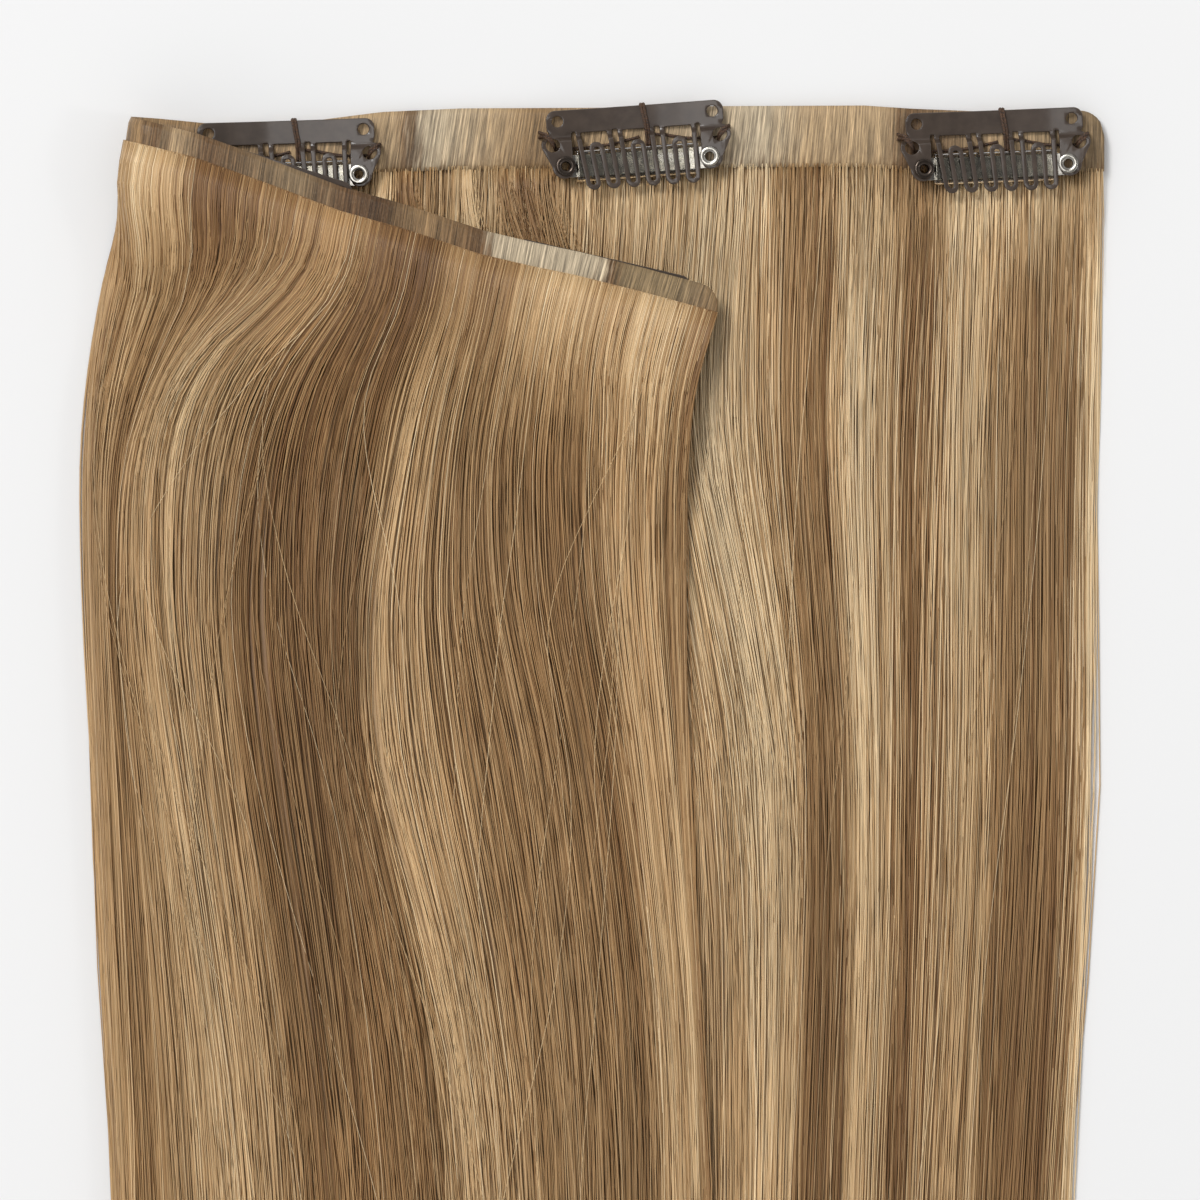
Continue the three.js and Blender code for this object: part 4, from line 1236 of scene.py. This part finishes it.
def clip_matrix(is_folded, share, tilt):
    """Where a clip's own frame lies, in metres."""
    x = -BEND_RUN - share * FOLDED_RUN if is_folded else share * LOWER_RUN
    y = BAND_TOP + BAR_OVERHANG + float(band_side(x))
    face = BAND_THICKNESS / 2
    turn = math.radians(tilt)
    origin = folded(x, y, face)
    along = Vector(folded(x + math.cos(turn), y + math.sin(turn), face) - origin).normalized()
    across = Vector(folded(x - math.sin(turn), y + math.cos(turn), face) - origin)
    up = along.cross(across).normalized()
    turned = Matrix((along, up.cross(along), up)).transposed().to_4x4()
    return Matrix.Translation(Vector((origin + SHIFT) * MM)) @ turned


def placed(name, mesh, matrix, material, slot, *nodes):
    copy = mesh.copy()
    copy.name = name
    copy.transform(matrix)
    return keep(new_object(name, copy, material), slot, *nodes)


def twist(path, radius, plies, turn_length):
    """Paths of the plies of a twisted thread that follows a few points."""
    steps = 40
    path = np.array(path, dtype=float)
    share = np.linspace(0, len(path) - 1, steps)
    knots = np.arange(len(path))
    smooth_path = np.stack([np.interp(share, knots, path[:, i]) for i in range(3)], axis=-1)
    kernel = np.hanning(11)
    kernel /= kernel.sum()
    padded = np.pad(smooth_path, ((5, 5), (0, 0)), mode="edge")
    smooth_path = np.stack(
        [np.convolve(padded[:, i], kernel, mode="valid") for i in range(3)], axis=-1)
    step = np.linalg.norm(np.diff(smooth_path, axis=0), axis=1)
    length = np.concatenate(((0,), np.cumsum(step)))
    tangent = np.gradient(smooth_path, axis=0)
    tangent /= np.maximum(np.linalg.norm(tangent, axis=1, keepdims=True), 1e-9)
    side = np.cross(tangent, np.array((0.35, 0.2, 0.9)))
    side /= np.linalg.norm(side, axis=1, keepdims=True)
    up = np.cross(side, tangent)
    paths = []
    for ply in range(plies):
        angle = 2 * math.pi * (length / turn_length + ply / plies)
        offset = np.cos(angle)[:, None] * side + np.sin(angle)[:, None] * up
        paths.append(smooth_path + radius * 0.55 * offset)
    return np.array(paths), np.full((plies, steps), radius * 0.62)


def stitches(over_bar):
    """Thread paths of one clip in its own frame: round each ear, and over and under the bar."""
    face = BAR_BASE + PLATE_THICKNESS
    ear_x = CLIP_LENGTH / 2 - EAR_RADIUS
    ear_top = TOOTH_BASE + PLATE_THICKNESS + bow_smooth(ear_x)
    paths = []
    for aside in (-0.22, 0.22) if over_bar else ():
        paths.append([
            (1.4 + aside, 0.0, -0.4), (1.4 + aside, 0.2, 0.3), (1.4 + aside, 0.1, face + 0.15),
            (1.5 + aside, -0.5, face + 0.22), (1.75 + aside, -2.2, face + 0.22),
            (2.0 + aside, -3.7, face + 0.22), (2.05 + aside, -4.6, face - 0.1),
            (2.1 + aside, -5.8, 0.35), (2.0 + aside, -7.0, 0.25),
        ])
    for aside in (-0.3, 0.2):
        paths.append([
            (-ear_x - 2.2, -3.8 + 2 * aside, 0.2), (-ear_x - 1.9, -3.9 + aside, 1.2),
            (-ear_x - 1.2, -4.2 + aside, ear_top + 0.15), (-ear_x - 0.4, -4.9 + aside, ear_top + 0.2),
            (-ear_x + 0.1, -5.7 + aside, ear_top - 0.3), (-ear_x + 0.4, -6.5 + aside, 0.8),
        ])
        paths.append([
            (ear_x + 1.7, -4.7 + aside, 0.3), (ear_x + 1.65, -4.8 + aside, 1.2),
            (ear_x + 1.2, -5.0 + aside, ear_top + 0.1), (ear_x + 0.5, -5.5 + aside, ear_top + 0.15),
            (ear_x, -6.0 + aside, ear_top - 0.3), (ear_x - 0.3, -6.6 + aside, 0.8),
        ])
    if not over_bar:
        return paths
    paths.append([(1.4, -4.9, 0.3), (5.0, -5.3, 0.3), (8.8, -6.2, 0.3), (ear_x - 0.3, -6.4, 0.8)])
    paths.append([(0.8, -5.3, 0.3), (-4.0, -6.3, 0.3), (-8.5, -6.6, 0.3), (-ear_x + 0.4, -6.5, 0.8)])
    return paths


def thread_mesh(over_bar):
    points = []
    quads = []
    ends = []
    count = 0
    for path in stitches(over_bar):
        paths, radii = twist(path, THREAD_RADIUS, THREAD_PLIES, THREAD_TURN)
        block, faces, number = tubes(paths, radii, 5)
        caps = np.concatenate((number[:, 0, :], number[:, -1, ::-1]))
        points.append(block.reshape(-1, 3))
        quads.append(faces + count)
        ends.append(caps + count)
        count += block.size // 3
    points = np.concatenate(points)
    faces = [tuple(face) for face in np.concatenate(quads)]
    faces += [tuple(face) for face in np.concatenate(ends)]
    mesh = bpy.data.meshes.new("thread")
    mesh.from_pydata((points * MM).tolist(), [], faces)
    for polygon in mesh.polygons:
        polygon.use_smooth = True
    return mesh


def to_metres(mesh):
    mesh.transform(Matrix.Scale(MM, 4))
    return mesh


def make_clips():
    plate = to_metres(comb_plate_mesh())
    strap = to_metres(strap_mesh())
    sleeve = sleeve_mesh()
    rivet = rivet_mesh()
    threads = {is_folded: thread_mesh(not is_folded) for is_folded in (False, True)}
    paint = paint_material()
    steel = metal_material("strap_steel", (120, 116, 110), (176, 172, 164), 0.12, 0.24)
    # Painted light and shade: the eyelets' two materials are lit and shaded copies of one metal, a
    # lighter one for the right eyelets and a darker one for the left.
    painted_lit_eyelet_metal = metal_material("eyelet", (132, 128, 120), (188, 184, 176), 0.16, 0.3)
    dark = metal_material("eyelet_painted_shade", (58, 51, 46), (84, 75, 68), 0.2, 0.34)
    silicone = silicone_material()
    cotton = thread_material()
    for name, is_folded, share, tilt in CLIP_PLACES:
        matrix = clip_matrix(is_folded, share, tilt)
        body = placed(f"{name}_plate", plate, matrix, paint, "clip_paint", f"{name}_comb_plate")
        body.modifiers.new("even_normals", "WEIGHTED_NORMAL").weight = 60
        placed(f"{name}_steel_strap", strap, matrix, steel, "strap_steel", f"{name}_strap")
        placed(f"{name}_tube", sleeve, matrix, silicone, "silicone", f"{name}_sleeve")
        # Each right eyelet takes the lighter copy as painted reflection, and each left one the darker
        # copy as painted shade.
        for side, hand, finish in (("left", -1, dark), ("right", 1, painted_lit_eyelet_metal)):
            x = hand * RIVET_SPACING / 2
            slope = bow_at(x + 0.5) - bow_at(x - 0.5)
            seat = Matrix.Translation(Vector((x, -RIVET_DROP, float(bow_at(x)))) * MM)
            lean = Matrix.Rotation(-math.atan(float(slope)), 4, "Y")
            placed(f"{name}_eyelet_{side}", rivet, matrix @ seat @ lean, finish, "eyelet",
                   f"{name}_rivet_{side}")
        placed(f"{name}_thread", threads[is_folded], matrix, cotton, "hair")


def make_floor():
    mesh = bpy.data.meshes.new("floor")
    reach = 3.0
    mesh.from_pydata(
        [(-reach, -reach, 0), (reach, -reach, 0), (reach, reach, 0), (-reach, reach, 0)],
        [], [(0, 1, 2, 3)])
    floor = new_object("floor", mesh, floor_material())


# Photograph: its width in millimetres, and where its middle is from the band's upper right end
FRAME_WIDTH = 205.5
MIDDLE_FROM_END = (-86.2, -84.55)
LENS = 200.0
SENSOR = 36.0


def photo_middle():
    x = band_high[0] + MIDDLE_FROM_END[0]
    y = band_high[1] + MIDDLE_FROM_END[1]
    return Vector((x, y, 0)) * MM


def make_camera():
    camera = bpy.data.cameras.new("camera")
    camera.lens = LENS
    camera.sensor_width = SENSOR
    camera.clip_start = 0.01
    holder = bpy.data.objects.new("camera", camera)
    bpy.context.scene.collection.objects.link(holder)
    height = LENS * FRAME_WIDTH / SENSOR
    holder.location = photo_middle() + Vector((0, 0, height)) * MM
    bpy.context.scene.camera = holder


def area_light(name, offset, size, power):
    light = bpy.data.lights.new(name, "AREA")
    light.size = size
    light.energy = power
    holder = bpy.data.objects.new(name, light)
    bpy.context.scene.collection.objects.link(holder)
    aim = photo_middle()
    holder.location = aim + Vector(offset)
    holder.rotation_euler = (aim - holder.location).to_track_quat("-Z", "Y").to_euler()


def make_light():
    """A pale room, darker overhead, with a large key light and a softbox beside the camera."""
    world = bpy.data.worlds.new("studio")
    world.use_nodes = True
    tree = world.node_tree
    background = tree.nodes["Background"]
    source = tree.nodes.new("ShaderNodeTexCoord")
    split = tree.nodes.new("ShaderNodeSeparateXYZ")
    tree.links.new(source.outputs["Generated"], split.inputs["Vector"])
    height = tree.nodes.new("ShaderNodeMapRange")
    height.inputs["From Min"].default_value = 0.5
    height.inputs["From Max"].default_value = 0.98
    height.inputs["To Min"].default_value = 0.75
    height.inputs["To Max"].default_value = 0.22
    tree.links.new(split.outputs["Z"], height.inputs["Value"])
    tree.links.new(height.outputs["Result"], background.inputs["Strength"])
    background.inputs["Color"].default_value = (1.0, 1.0, 1.0, 1.0)
    bpy.context.scene.world = world
    area_light("key", (-1.6, 1.7, 3.0), 1.3, 85.0)
    area_light("softbox", (-0.52, 0.1, 2.1), 0.8, 7.0)
    area_light("rim", (1.3, -0.2, 1.0), 0.15, 1.6)
    bpy.context.scene.view_settings.view_transform = "Standard"


make_camera()
make_light()
make_floor()
make_band()
make_clips()
make_hair()
